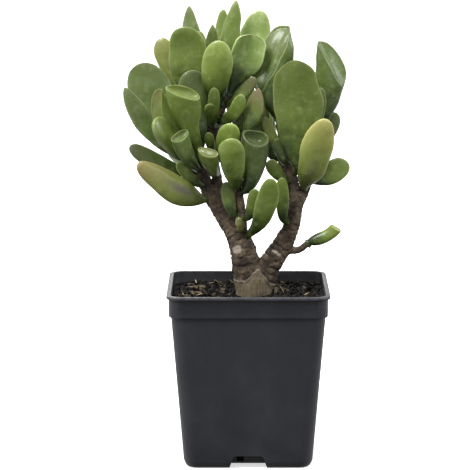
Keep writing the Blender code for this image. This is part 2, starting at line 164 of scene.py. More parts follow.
class Paint(Nodes):
    """A material under construction, with short names for the nodes that are used most."""

    def __init__(self, name: str) -> None:
        """Start a material of a given name.

        Args:
            name: The material's name.
        """
        self.material = bpy.data.materials.new(name)
        self.material.use_nodes = True
        super().__init__(self.material.node_tree)

    def place(self, scale: Sequence[Number] = (1.0, 1.0, 1.0)) -> bpy.types.NodeSocket:
        """Return the place on the object in metres, stretched by a scale along X, Y and Z."""
        where = self.node("ShaderNodeTexCoord", {}, {}, "Object")
        return self.node("ShaderNodeVectorMath", {"operation": "MULTIPLY"}, {0: where, 1: tuple(scale)}, 0)

    def noise(self, where: bpy.types.NodeSocket, per_metre: Number, detail: Number = 3.0,
              roughness: Number = 0.55, distortion: Number = 0.0) -> Field:
        """Return smooth noise between about 0.2 and 0.8.

        Args:
            where: The vector that the noise is read at.
            per_metre: How many lumps lie along a metre.
            detail: How many finer layers are added.
            roughness: How strong the finer layers are.
            distortion: How far the lumps are swirled.

        Returns:
            The noise.
        """
        values = {"Vector": where, "Scale": per_metre, "Detail": detail, "Roughness": roughness,
                  "Distortion": distortion}
        return Field(self, self.node("ShaderNodeTexNoise", {}, values, "Fac"))

    def cells(self, where: bpy.types.NodeSocket, per_metre: Number) -> Field:
        """Return the distance to the nearest point of a random scatter, in cells."""
        values = {"Vector": where, "Scale": per_metre}
        return Field(self, self.node("ShaderNodeTexVoronoi", {}, values, "Distance"))

    def stored(self, name: str) -> Field:
        """Return a number stored on the mesh under a name."""
        return Field(self, self.node("ShaderNodeAttribute", {"attribute_name": name}, {}, "Fac"))

    def axis(self, vector: bpy.types.NodeSocket, index: int) -> Field:
        """Return one part of a vector: 0 for X, 1 for Y, 2 for Z."""
        return Field(self, self.node("ShaderNodeSeparateXYZ", {}, {0: vector}, index))

    def mix(self, factor: object, first: object, second: object) -> bpy.types.NodeSocket:
        """Mix two colours.

        Args:
            factor: How much of the second, from 0 to 1.
            first: The first colour.
            second: The second colour.

        Returns:
            The mixed colour.
        """
        return self.node("ShaderNodeMix", {"data_type": "RGBA"}, {0: factor, 6: first, 7: second}, 2)

    def scaled(self, colour: object, factor: Field) -> bpy.types.NodeSocket:
        """Return a colour multiplied by a factor."""
        return self.node("ShaderNodeVectorMath", {"operation": "SCALE"}, {0: colour, "Scale": factor}, 0)

    def shift(self, colour: object, amount: Field, span: Number) -> bpy.types.NodeSocket:
        """Lighten and darken a colour by a noise about 0.5.

        Args:
            colour: The colour.
            amount: The noise.
            span: How strongly the noise acts.

        Returns:
            The colour, multiplied by 1 plus the span times the noise less a half.
        """
        return self.scaled(colour, (amount - 0.5) * span + 1.0)

    def bump(self, height: Field, distance: Number, strength: Number = 1.0,
             under: Optional[bpy.types.NodeSocket] = None) -> bpy.types.NodeSocket:
        """Turn a height into a bumped normal.

        Args:
            height: The height, about 0 to 1.
            distance: How high 1 is, in metres.
            strength: How much of the bump shows.
            under: A coarser bumped normal that this one lies on.

        Returns:
            The normal.
        """
        values = {"Height": height, "Distance": distance, "Strength": strength}
        if under is not None:
            values["Normal"] = under
        return self.node("ShaderNodeBump", {}, values, "Normal")

    def finish(self, colour: object, roughness: object, normal: Optional[bpy.types.NodeSocket],
               fixed: Dict[str, object]) -> bpy.types.Material:
        """Join the shader up.

        Args:
            colour: The base colour.
            roughness: The roughness, a Field or a number.
            normal: The bumped normal, or nothing.
            fixed: Values that are the same all over the surface, by the shader's own names.

        Returns:
            The finished material.
        """
        inputs = self.tree.nodes["Principled BSDF"].inputs
        self.feed(inputs["Base Color"], colour)
        self.feed(inputs["Roughness"], roughness)
        if normal is not None:
            self.feed(inputs["Normal"], normal)
        for name, value in fixed.items():
            inputs[name].default_value = value
        return self.material


# --- Surfaces ---


def store(mesh: bpy.types.Mesh, numbers: Dict[str, np.ndarray]) -> None:
    """Store numbers on the points of a mesh, each row under its name."""
    for key, values in numbers.items():
        mesh.attributes.new(key, "FLOAT", "POINT").data.foreach_set("value", values.astype(np.float32))


def dress(made: bpy.types.Object, material: bpy.types.Material) -> None:
    """Give an object one material in place of any it has."""
    made.data.materials.clear()
    made.data.materials.append(material)


def round_angles(count: int) -> np.ndarray:
    """Return angles at even steps once round a circle."""
    return np.arange(count) * 2 * math.pi / count


@dataclass
class Surface:
    """A mesh in millimetres: points, four-sided faces and numbers stored on the points."""

    points: np.ndarray
    faces: np.ndarray
    stored: Dict[str, np.ndarray] = field(default_factory=dict)

    def volume(self) -> float:
        """Return the volume inside: a sixth of the sum of a . (b x c + c x d) over the faces a, b, c, d."""
        a, b, c, d = (self.points[self.faces[:, k]] for k in range(4))
        return float((a * (np.cross(b, c) + np.cross(c, d))).sum() / 6.0)

    def make(self, name: str, material: Optional[bpy.types.Material] = None) -> bpy.types.Object:
        """Turn the surface into an object in metres, with every face pointing outwards.

        Args:
            name: The object's name.
            material: Its material.

        Returns:
            The object, smoothly shaded.
        """
        folded = self.faces[:, 2] == self.faces[:, 3]
        quads, triangles = self.faces[~folded], self.faces[folded, :3]
        if self.volume() < 0.0:
            quads, triangles = quads[:, ::-1], triangles[:, ::-1]
        mesh = bpy.data.meshes.new(name)
        mesh.from_pydata((self.points * MM).tolist(), [], quads.tolist() + triangles.tolist())
        store(mesh, self.stored)
        mesh.shade_smooth()
        if material is not None:
            mesh.materials.append(material)
        made = bpy.data.objects.new(name, mesh)
        bpy.context.scene.collection.objects.link(made)
        return made


def join_surfaces(parts: Sequence[Surface]) -> Surface:
    """Join surfaces into one, with their points one after another.

    Args:
        parts: The surfaces, with the same numbers stored.

    Returns:
        The one surface.
    """
    starts = np.cumsum([0] + [len(part.points) for part in parts[:-1]])
    keys = parts[0].stored.keys()
    return Surface(
        np.concatenate([part.points for part in parts]),
        np.concatenate([part.faces + start for part, start in zip(parts, starts)]),
        {key: np.concatenate([part.stored[key] for part in parts]) for key in keys},
    )


def ring_faces(rows: int, columns: int) -> np.ndarray:
    """Return the faces of a grid of rows whose columns close round into rings.

    Face (i, j) joins points (i, j), (i, j + 1), (i + 1, j + 1) and (i + 1, j), with j + 1 taken round.

    Args:
        rows: How many rings.
        columns: How many points in a ring.

    Returns:
        The faces, four indices each.
    """
    i, j = np.meshgrid(np.arange(rows - 1), np.arange(columns), indexing="ij")
    after = (j + 1) % columns
    corners = (i * columns + j, i * columns + after, (i + 1) * columns + after, (i + 1) * columns + j)
    return np.stack([corner.ravel() for corner in corners], axis=1)


def smooth_rise(values: np.ndarray, low: float, high: float) -> np.ndarray:
    """Return 3 x squared less 2 x cubed, where x runs from 0 at low to 1 at high."""
    x = np.clip((values - low) / (high - low), 0.0, 1.0)
    return x * x * (3.0 - 2.0 * x)


def lattice_noise(points: np.ndarray, size: float, seed: int) -> np.ndarray:
    """Return smooth noise from -1 to 1 whose lumps are of about a given size.

    Random numbers stand on a lattice of that size, and the eight corners around a point are blended by
    the smooth step of its place between them.

    Args:
        points: Places, n by 3.
        size: The lattice's step, in the unit of the points.
        seed: What the random numbers start from.

    Returns:
        One number for each point.
    """
    count = 32
    table = np.random.default_rng(seed).uniform(-1.0, 1.0, (count, count, count))
    scaled = points / size
    low = np.floor(scaled).astype(int)
    part = scaled - low
    part = part * part * (3.0 - 2.0 * part)
    total = np.zeros(len(points))
    for corner in np.ndindex(2, 2, 2):
        weight = np.prod(np.where(np.array(corner) == 1, part, 1.0 - part), axis=1)
        index = (low + np.array(corner)) % count
        total += weight * table[index[:, 0], index[:, 1], index[:, 2]]
    return total


def smooth_path(points: Sequence[Sequence[float]], per_span: int = 12) -> np.ndarray:
    """Return many points on a Catmull-Rom curve through a few points.

    Between b and c the curve is half of 2b + (c - a) t + (2a - 5b + 4c - d) t squared
    + (3b - a - 3c + d) t cubed, where a and d are the points before and after.

    Args:
        points: The few points.
        per_span: How many points between two of them.

    Returns:
        The many points.
    """
    few = np.asarray(points, dtype=float)
    ends = np.vstack([2 * few[0] - few[1], few, 2 * few[-1] - few[-2]])
    t = np.linspace(0.0, 1.0, per_span, endpoint=False)[None, :, None]
    a, b, c, d = (ends[k:len(ends) - 3 + k, None, :] for k in range(4))
    spans = 0.5 * (2 * b + (c - a) * t + (2 * a - 5 * b + 4 * c - d) * t ** 2
                   + (3 * b - a - 3 * c + d) * t ** 3)
    return np.vstack([spans.reshape(-1, few.shape[1]), few[-1:]])


def unit(vectors: np.ndarray) -> np.ndarray:
    """Return vectors of length one."""
    return vectors / np.linalg.norm(vectors, axis=-1, keepdims=True)


def cross_axes(directions: np.ndarray, guide: np.ndarray) -> Tuple[np.ndarray, np.ndarray]:
    """Return two unit vectors across each direction, the second one as near the guide as it can be."""
    across = unit(np.cross(directions, guide))
    return across, np.cross(across, directions)


def apply_modifiers(made: bpy.types.Object) -> None:
    """Replace an object's mesh with the one that its modifiers give, and drop them.

    Args:
        made: The object.
    """
    graph = bpy.context.evaluated_depsgraph_get()
    graph.update()
    shaped = bpy.data.meshes.new_from_object(made.evaluated_get(graph))
    made.modifiers.clear()
    made.data = shaped


def settle(made: bpy.types.Object, slot: str, *nodes: str) -> None:
    """Put a piece on the plant's one body; it may stand for CAD nodes, which are hidden.

    Args:
        made: The piece.
        slot: Not used.
        nodes: The CAD nodes that it replaces.
    """
    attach(made, "root")
    if nodes:
        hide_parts(*nodes)
    LOG.info("%s: %d faces", made.name, len(made.data.polygons))


# --- Stem ---


END_RINGS = 5
END_SHARE = 0.02
TUBE_GUIDE = (0.0, 1.0, 0.12)


class Shoot:
    """A shoot as a smooth curve with a radius, measured along its length."""

    def __init__(self, points: Sequence[Sequence[float]]) -> None:
        """Run a curve through points of x, y, z and radius.

        Args:
            points: Rows of x, y, z and radius.
        """
        self.curve = smooth_path(points)
        steps = np.linalg.norm(np.diff(self.curve[:, :3], axis=0), axis=1)
        self.along = np.concatenate([[0.0], np.cumsum(steps)])
        self.length = float(self.along[-1])

    def at(self, station: float) -> Tuple[np.ndarray, np.ndarray, float]:
        """Return the centre, direction and radius at a station from 0 to 1.

        Args:
            station: The place along the shoot, from 0 to 1.

        Returns:
            The centre, the direction and the radius there.
        """
        distance = station * self.length
        values = [float(np.interp(distance, self.along, self.curve[:, k])) for k in range(4)]
        index = int(np.clip(np.searchsorted(self.along, distance), 1, len(self.along) - 1))
        return np.array(values[:3]), unit(self.curve[index, :3] - self.curve[index - 1, :3]), values[3]

    def tube(self, step: float, sides: int) -> Surface:
        """Return a tube along the shoot.

        A ring lies every step: the centre plus the radius times the cosine and the sine of the angle along
        the two axes across the shoot. At the end the radius follows a quarter circle down to a point.

        Args:
            step: The distance between rings, in millimetres.
            sides: The points in a ring.

        Returns:
            The closed tube.
        """
        count = max(4, int(self.length / step))
        distance = np.linspace(0.0, self.length, count)
        centre = np.stack([np.interp(distance, self.along, self.curve[:, k]) for k in range(3)], axis=1)
        radius = np.interp(distance, self.along, self.curve[:, 3])
        heading = unit(np.gradient(centre, axis=0))
        bend = np.linspace(0.0, math.pi / 2, END_RINGS + 1)[1:]
        centre = np.vstack([centre, centre[-1] + heading[-1] * radius[-1] * np.sin(bend)[:, None]])
        heading = np.vstack([heading, np.repeat(heading[-1:], len(bend), axis=0)])
        radius = np.concatenate([radius, radius[-1] * np.maximum(np.cos(bend), END_SHARE)])
        across, back = cross_axes(heading, np.array(TUBE_GUIDE))
        angle = round_angles(sides)
        spokes = np.cos(angle)[None, :, None] * across[:, None] + np.sin(angle)[None, :, None] * back[:, None]
        return close_ends(centre[:, None] + radius[:, None, None] * spokes)


def close_ends(grid: np.ndarray) -> Surface:
    """Return a closed surface from rings of points, with each end drawn in to its middle.

    Args:
        grid: Rings of points, rows by columns by 3.

    Returns:
        The surface, with one point at each end's middle and faces that fold to triangles there.
    """
    rows, columns = grid.shape[:2]
    points = np.vstack([grid.reshape(-1, 3), grid[0].mean(axis=0), grid[-1].mean(axis=0)])
    first, last = rows * columns, rows * columns + 1
    j = np.arange(columns)
    after = (j + 1) % columns
    low = np.stack([after, j, np.full(columns, first), np.full(columns, first)], axis=1)
    top = (rows - 1) * columns
    high = np.stack([top + j, top + after, np.full(columns, last), np.full(columns, last)], axis=1)
    return Surface(points, np.vstack([ring_faces(rows, columns), low, high]))


SHOOTS = {
    "trunk": [(3.4, -3, 84, 10), (3.4, -3, 92.3, 10.3), (3.4, -3, 98.7, 9.9), (3.8, -3, 103, 9.3),
        (4.3, -3, 106, 8)],
    "left_limb": [(0.5, -3, 98, 7.4), (-0.6, -3, 107.4, 8.1), (-2.1, -3, 115.5, 8), (-3.5, -3, 122.5, 7.3),
        (-6.9, -2, 129.8, 6.4), (-12.6, -1, 137.2, 5.2), (-17.5, 0, 144.5, 4.7), (-21.8, 1, 151.9, 4.3),
        (-25.2, 2, 159.2, 3.8), (-28.1, 3, 167.2, 3.3), (-32, 4, 174.5, 2.8), (-35.5, 4, 180.3, 2.4)],
    "left_twig": [(-25.8, 3, 160.8, 3), (-27.5, 8, 171.7, 2.7), (-29.9, 11, 184, 2.5), (-32, 12, 194.3, 2.3)],
    "crown_twig": [(-16, 1, 143.8, 3.4), (-16.7, 6, 154.7, 3), (-19, 8, 167.7, 2.7), (-19.5, 9, 180.3, 2.5),
        (-18.4, 9, 191.2, 2.4), (-15, 8, 199.9, 2.3), (-10.9, 7, 206.9, 2.2)],
    "upper_twig": [(-19.5, 9, 177.4, 2.5), (-22.4, 12, 188.2, 2.4), (-24.2, 13.5, 197.2, 2.3),
        (-24.6, 14, 205, 2.2)],
    "middle_twig": [(-4.1, -4, 126, 3.2), (-3.2, -7, 135.8, 2.7), (-4.1, -7, 145, 2.5), (-5.2, -6, 155, 2.4),
        (-4.7, -5, 166.5, 2.3), (-3, -4, 176.6, 2.2), (-1.8, -3, 183.4, 2.1)],
    "right_limb": [(6.2, -3, 98, 7.2), (10.3, -2, 107.2, 7), (14.8, -2, 115.3, 6.5), (20, -1, 123.3, 5.8),
        (23.4, 0, 130, 5.1), (25.7, 0, 137.6, 4.5), (26.8, 1, 145.5, 4.3), (26.2, 2, 154, 3.8),
        (24.5, 3, 163.7, 3.2), (22.2, 4, 174, 2.8), (19.9, 5, 182.5, 2.5), (18.2, 6, 189.2, 2.3)],
    "right_twig": [(26.8, 1, 142.7, 3.7), (30.9, 5, 150.8, 3.4), (34.3, 7, 159.2, 3.1), (37.8, 9, 169.3, 2.8),
        (40.6, 10, 179, 2.5), (42.3, 10, 185.9, 2.3)],
    "side_twig": [(20.5, -2, 120, 2.6), (28.5, -4, 120.3, 2.1), (33.6, -5, 123.9, 1.9)],
    "back_twig": [(-6.9, 0, 128.9, 3.8), (-8, 14, 140.8, 3.3), (-6.3, 24, 152.8, 3), (-4.6, 31, 165.4, 2.6),
        (-2.8, 35, 176.6, 2.3)],
    "back_left_twig": [(-22.9, 2, 154, 3.5), (-25.4, 16, 162.6, 3), (-27.8, 25, 173, 2.6),
        (-29, 30, 183, 2.3)],
    "back_right_twig": [(26.2, 1, 140.3, 3.6), (23.6, 15, 148.8, 3.1), (20.9, 24, 160.4, 2.7),
        (19.2, 29, 172.7, 2.3)],
}


@dataclass(frozen=True)
class BarkFinish:
    """The colours of the bark and of the bare foot below it."""

    brown: Colour = (0.100, 0.072, 0.046)
    dark: Colour = (0.024, 0.016, 0.012)
    pale: Colour = (0.30, 0.245, 0.165)
    foot: Colour = (0.150, 0.118, 0.072)
    scar: Colour = (0.38, 0.33, 0.26)

    def material(self) -> bpy.types.Material:
        """Return the bark, which reads the numbers that the stem stores on its points.

        It is grey-brown in patches, darker in its rings, and tan and grained at the foot.

        Returns:
            The material.
        """
        paint = Paint("stem_bark")
        where = paint.place()
        tall = paint.place((1.0, 1.0, 0.12))
        patches = paint.noise(where, 130.0, 4.0, 0.6)
        fine = paint.noise(where, 900.0, 3.0, 0.65)
        grain = paint.noise(tall, 1500.0, 3.0, 0.6)
        rings = paint.stored("rings")
        foot = paint.stored("foot")
        colour = paint.mix(patches.step(0.40, 0.60) * 0.8 + 0.2, self.dark, self.brown)
        colour = paint.mix(fine.step(0.5, 0.62) * patches.step(0.4, 0.7) * 0.6, colour, self.pale)
        colour = paint.mix(rings * 0.85, colour, self.dark)
        bare = paint.mix(grain.step(0.4, 0.62), self.foot, paint.shift(self.foot, grain, -3.6))
        colour = paint.mix(foot, colour, bare)
        colour = paint.mix(paint.stored("scar"), colour, self.scar)
        colour = paint.shift(colour, paint.noise(where, 300.0), 1.3)
        normal = paint.bump(fine * (1.0 - foot) + grain * foot, 0.0007, 0.9)
        return paint.finish(colour, fine * 0.25 + 0.62, normal, {"Specular IOR Level": 0.3})


CURVE_PART = 8
CUT_SCARS = (
    ((-7.4, -10.6, 121.4), (3.7, 4.4, 2.8), 0.1),
    ((16.0, -8.4, 119.6), (4.3, 3.4, 1.05), 0.5),
)


@dataclass
class Stem:
    """The woody foot, its limbs and its twigs, grown as one piece."""

    shoots: Dict[str, Shoot]
    finish: BarkFinish
    voxel: float = 0.62
    ring_step: float = 4.6
    ring_height: float = 0.85
    wrinkle: float = 0.8

    def border(self, points: np.ndarray) -> np.ndarray:
        """Return how far above the upper edge of the bare foot each point lies, in millimetres.

        The edge is at 102.5 plus 7 times the bell curve of width 4 about x = 5.5, less 0.3 for every
        millimetre to the right of 6.

        Args:
            points: Places in millimetres, n by 3.

        Returns:
            One distance for each point, below 0 on the bare foot.
        """
        x = points[:, 0]
        edge = 102.5 + 7.0 * np.exp(-((x - 5.5) / 4.0) ** 2) - 0.3 * np.maximum(x - 6.0, 0.0)
        return points[:, 2] - edge - 0.5 * lattice_noise(points, 2.5, 31)

    def along(self, points: np.ndarray) -> Tuple[np.ndarray, np.ndarray, np.ndarray]:
        """Return for each point the distance along its nearest shoot, that shoot's radius and its number.

        Args:
            points: Places in millimetres, n by 3.

        Returns:
            The distances along, the radii and the shoots' numbers.
        """
        nearest = np.full(len(points), np.inf)
        values = np.zeros((3, len(points)))
        for number, shoot in enumerate(self.shoots.values()):
            for start in range(0, len(shoot.curve), CURVE_PART):
                part = shoot.curve[start:start + CURVE_PART]
                gaps = np.linalg.norm(points[:, None] - part[None, :, :3], axis=2) - part[None, :, 3]
                best = gaps.argmin(axis=1)
                gap = gaps[np.arange(len(points)), best]
                closer = gap < nearest
                nearest[closer] = gap[closer]
                values[0, closer] = shoot.along[start + best[closer]]
                values[1, closer] = part[best[closer], 3]
                values[2, closer] = number
        return values[0], values[1], values[2]

    def scars(self, points: np.ndarray) -> np.ndarray:
        """Return where the pale cut scars are, on the front of the limbs.

        Each is a tilted ball, full within 0.75 of its radii and gone at 1.05.

        Args:
            points: Places in millimetres, n by 3.

        Returns:
            One share for each point, from 0 to 1.
        """
        total = np.zeros(len(points))
        uneven = points + 0.5 * lattice_noise(points, 1.6, 33)[:, None]
        for centre, size, tilt in CUT_SCARS:
            away = uneven - np.array(centre)
            across = away[:, 0] * math.cos(tilt) - away[:, 2] * math.sin(tilt)
            up = away[:, 0] * math.sin(tilt) + away[:, 2] * math.cos(tilt)
            away = np.linalg.norm(np.stack([across, away[:, 1], up], axis=1) / np.array(size), axis=1)
            total = np.maximum(total, 1.0 - smooth_rise(away, 0.75, 1.05))
        return total

    def shape(self, made: bpy.types.Object) -> None:
        """Roughen the joined tubes and store what the bark's material reads.

        The bark moves along its normals by three sizes of lattice noise, less the rings: grooves where minus
        the cosine of the distance along the shoot passes 0.72. The bare foot has upright grooves, sines of
        19 and 41 times the angle round it. A collar stands where the bark ends, and the scars lie a little
        sunk.

        Args:
            made: The joined stem.
        """
        mesh = made.data
        count = len(mesh.vertices)
        points = np.empty(count * 3)
        normals = np.empty(count * 3)
        mesh.vertices.foreach_get("co", points)
        mesh.vertices.foreach_get("normal", normals)
        points = points.reshape(-1, 3) / MM
        normals = normals.reshape(-1, 3)
        distance, radius, number = self.along(points)
        above = self.border(points)
        foot = 1.0 - smooth_rise(above, -0.3, 0.4)
        scale = np.clip(radius / 7.0, 0.35, 1.0)
        swirl = 1.1 * lattice_noise(points, 5.0, 5) + 0.35 * lattice_noise(points, 1.8, 6)
        spacing = self.ring_step * (0.45 + 0.55 * scale)
        phase = 2.0 * math.pi * (distance / spacing + swirl * 0.3 + 0.37 * number)
        groove = np.clip((-np.cos(phase) - 0.72) / 0.28, 0.0, 1.0)
        groove = groove * (0.35 + 0.65 * smooth_rise(lattice_noise(points, 4.0, 9), -0.4, 0.5))
        rough = (0.55 * lattice_noise(points, 3.6, 11) + 0.3 * lattice_noise(points, 1.7, 12)
                 + 0.22 * lattice_noise(points, 0.95, 13))
        bark = scale * (self.wrinkle * rough - self.ring_height * groove)
        angle = np.arctan2(points[:, 1] - STEM_Y, points[:, 0] - STEM_X)
        wander = 0.5 * lattice_noise(points * np.array([1.0, 1.0, 0.25]), 2.4, 21)
        upright = np.sin(19.0 * angle + 5.0 * wander) + 0.7 * np.sin(41.0 * angle + 9.0 * wander)
        wood = 0.17 * upright + 0.2 * wander + 0.25
        collar = 0.5 * np.exp(-((above - 0.45) / 0.5) ** 2) + 0.1 * smooth_rise(above, 0.0, 1.0)
        near_foot = 1.0 - smooth_rise(above, 3.0, 12.0)
        scar = self.scars(points)
        move = (1.0 - foot) * bark * (1.0 - 0.9 * scar) + foot * wood + collar * near_foot - 0.35 * scar
        points = points + normals * move[:, None]
        mesh.vertices.foreach_set("co", (points * MM).ravel())
        line = 0.75 * np.exp(-((above - 0.6) / 0.4) ** 2) * near_foot
        store(mesh, {"rings": groove * (1.0 - foot), "foot": foot, "scar": np.maximum(scar, line)})
        mesh.update()
        mesh.shade_smooth()

    def build(self) -> None:
        """Build the stem: join a tube for each shoot, melt them into one skin and roughen it."""
        tubes = join_surfaces([shoot.tube(0.9, 24) for shoot in self.shoots.values()])
        made = tubes.make("jade_stem")
        melt = made.modifiers.new("melt", "REMESH")
        melt.mode = "VOXEL"
        melt.voxel_size = self.voxel * MM
        smooth = made.modifiers.new("smooth", "SMOOTH")
        smooth.factor = 0.5
        smooth.iterations = 4
        apply_modifiers(made)
        self.shape(made)
        dress(made, self.finish.material())
        settle(made, "stem_bark", "stem")


# --- Leaves ---

PETIOLE_WIDTH = 4.2
PETIOLE_THICKNESS = 3.0
LEAF_THICKEST = 0.45
LEAF_REACH = 0.2
LEAF_REACH_MOST = 9.0
LEAF_RISE = 0.42
GAP = 0.3
BLADE_ROWS = 64
BLADE_COLUMNS = 44
SPOON_COLUMNS = 64
LIP_SHARE = 0.07
ROOT_DEPTHS = np.array([2.0, 1.3, 0.7])
ROOT_FLARES = np.array([1.3, 1.22, 1.08])
STREAK_BROWN = (0.15, 0.13, 0.11)
WAXY_BLOOM = (0.28, 0.33, 0.23)
PORE_GREEN = (0.42, 0.50, 0.25)
SPECK_BROWN = (0.10, 0.075, 0.035)


class Hue(Enum):
    """The leaf colours, each one the name of a material."""

    GREEN = "leaf_green"
    GREY = "leaf_grey_green"
    YELLOW = "leaf_yellow_green"


@dataclass(frozen=True)
class LeafFinish:
    """The colours of one hue of leaf."""

    body: Colour
    deep: Colour
    pale: Colour
    blush: Colour
    bloom: float

    def material(self, hue: Hue) -> bpy.types.Material:
        """Make the leaf: waxy, mottled and finely speckled, with a painted rim highlight and painted shade at
        its foot.

        Args:
            hue: Which hue these colours are.

        Returns:
            The material. It reads the numbers that a leaf stores on its points.
        """
        paint = Paint(hue.value)
        where = paint.place()
        mottle = paint.noise(where, 85.0, 3.0, 0.5)
        cloud = paint.noise(where, 240.0, 4.0, 0.6)
        fine = paint.noise(where, 1400.0, 3.0, 0.6)
        pores = paint.cells(where, 1150.0)
        along = paint.stored("along")
        edge = paint.stored("edge")
        light = paint.stored("light")
        blush = paint.stored("blush")
        # Painted shade: besides its own mottling, the leaf is mixed towards its deep colour towards its foot.
        mottle_and_painted_shade = (mottle * 0.8 + along.step(0.1, 0.9) * 0.5 + cloud * 0.5).step(0.62, 1.05)
        colour = paint.mix(mottle_and_painted_shade, self.deep, self.body)
        colour = paint.mix(cloud.step(0.5, 0.75) * 0.36, colour, self.pale)
        # Painted highlight: the rim is mixed towards the pale colour, in a wide soft band and a brighter
        # edge.
        colour = paint.mix(edge * 0.3, colour, self.pale)
        colour = paint.mix(edge.step(0.6, 1.0) * 0.55, colour, self.pale)
        colour = paint.mix((along.step(0.55, 1.0) * 0.75 + edge * 0.25) * blush * (cloud * 0.8 + 0.6), colour,
                           self.blush)
        # A brownish streak along the middle of the face, where a leaf's streak value is set.
        colour = paint.mix(paint.stored("streak"), colour, STREAK_BROWN)
        dull = paint.noise(where, 160.0, 5.0, 0.65, 0.4).step(0.5, 0.68)
        colour = paint.mix(dull * self.bloom, colour, WAXY_BLOOM)
        colour = paint.mix(pores.step(0.2, 0.08) * 0.16, colour, PORE_GREEN)
        specks = paint.cells(where, 210.0).step(0.075, 0.03) * paint.noise(where, 60.0).step(0.5, 0.6)
        colour = paint.mix(specks * 0.55, colour, SPECK_BROWN)
        colour = paint.shift(colour, fine, 0.35)
        # Painted shade and light: the gain darkens the leaf towards its foot, and each leaf's light value
        # brightens its outer part, partly for its own tone and partly as painted light.
        gain = light * along.step(0.25, 0.85) + along.step(0.1, 0.7) * 0.26 + 0.59
        colour = paint.scaled(colour, gain)
        rough = fine * 0.12 + cloud * 0.16 + dull * 0.12 + 0.16
        low = paint.bump(cloud, 0.0005, 0.35)
        fixed = {"Specular IOR Level": 0.35, "Coat Weight": 0.2, "Coat Roughness": 0.2,
                 "Subsurface Weight": 0.1, "Subsurface Scale": 0.003}
        return paint.finish(colour, rough, paint.bump(fine + pores * 0.4, 0.00012, 0.4, low), fixed)


LEAF_FINISHES = {
    Hue.GREEN: LeafFinish((0.146, 0.208, 0.033), (0.043, 0.073, 0.012), (0.35, 0.44, 0.15),
                          (0.28, 0.20, 0.12), 0.12),
    Hue.GREY: LeafFinish((0.122, 0.178, 0.042), (0.037, 0.064, 0.013), (0.33, 0.40, 0.18),
                         (0.25, 0.19, 0.14), 0.22),
    Hue.YELLOW: LeafFinish((0.235, 0.285, 0.060), (0.150, 0.185, 0.034), (0.42, 0.45, 0.16),
                           (0.40, 0.25, 0.13), 0.06),
}


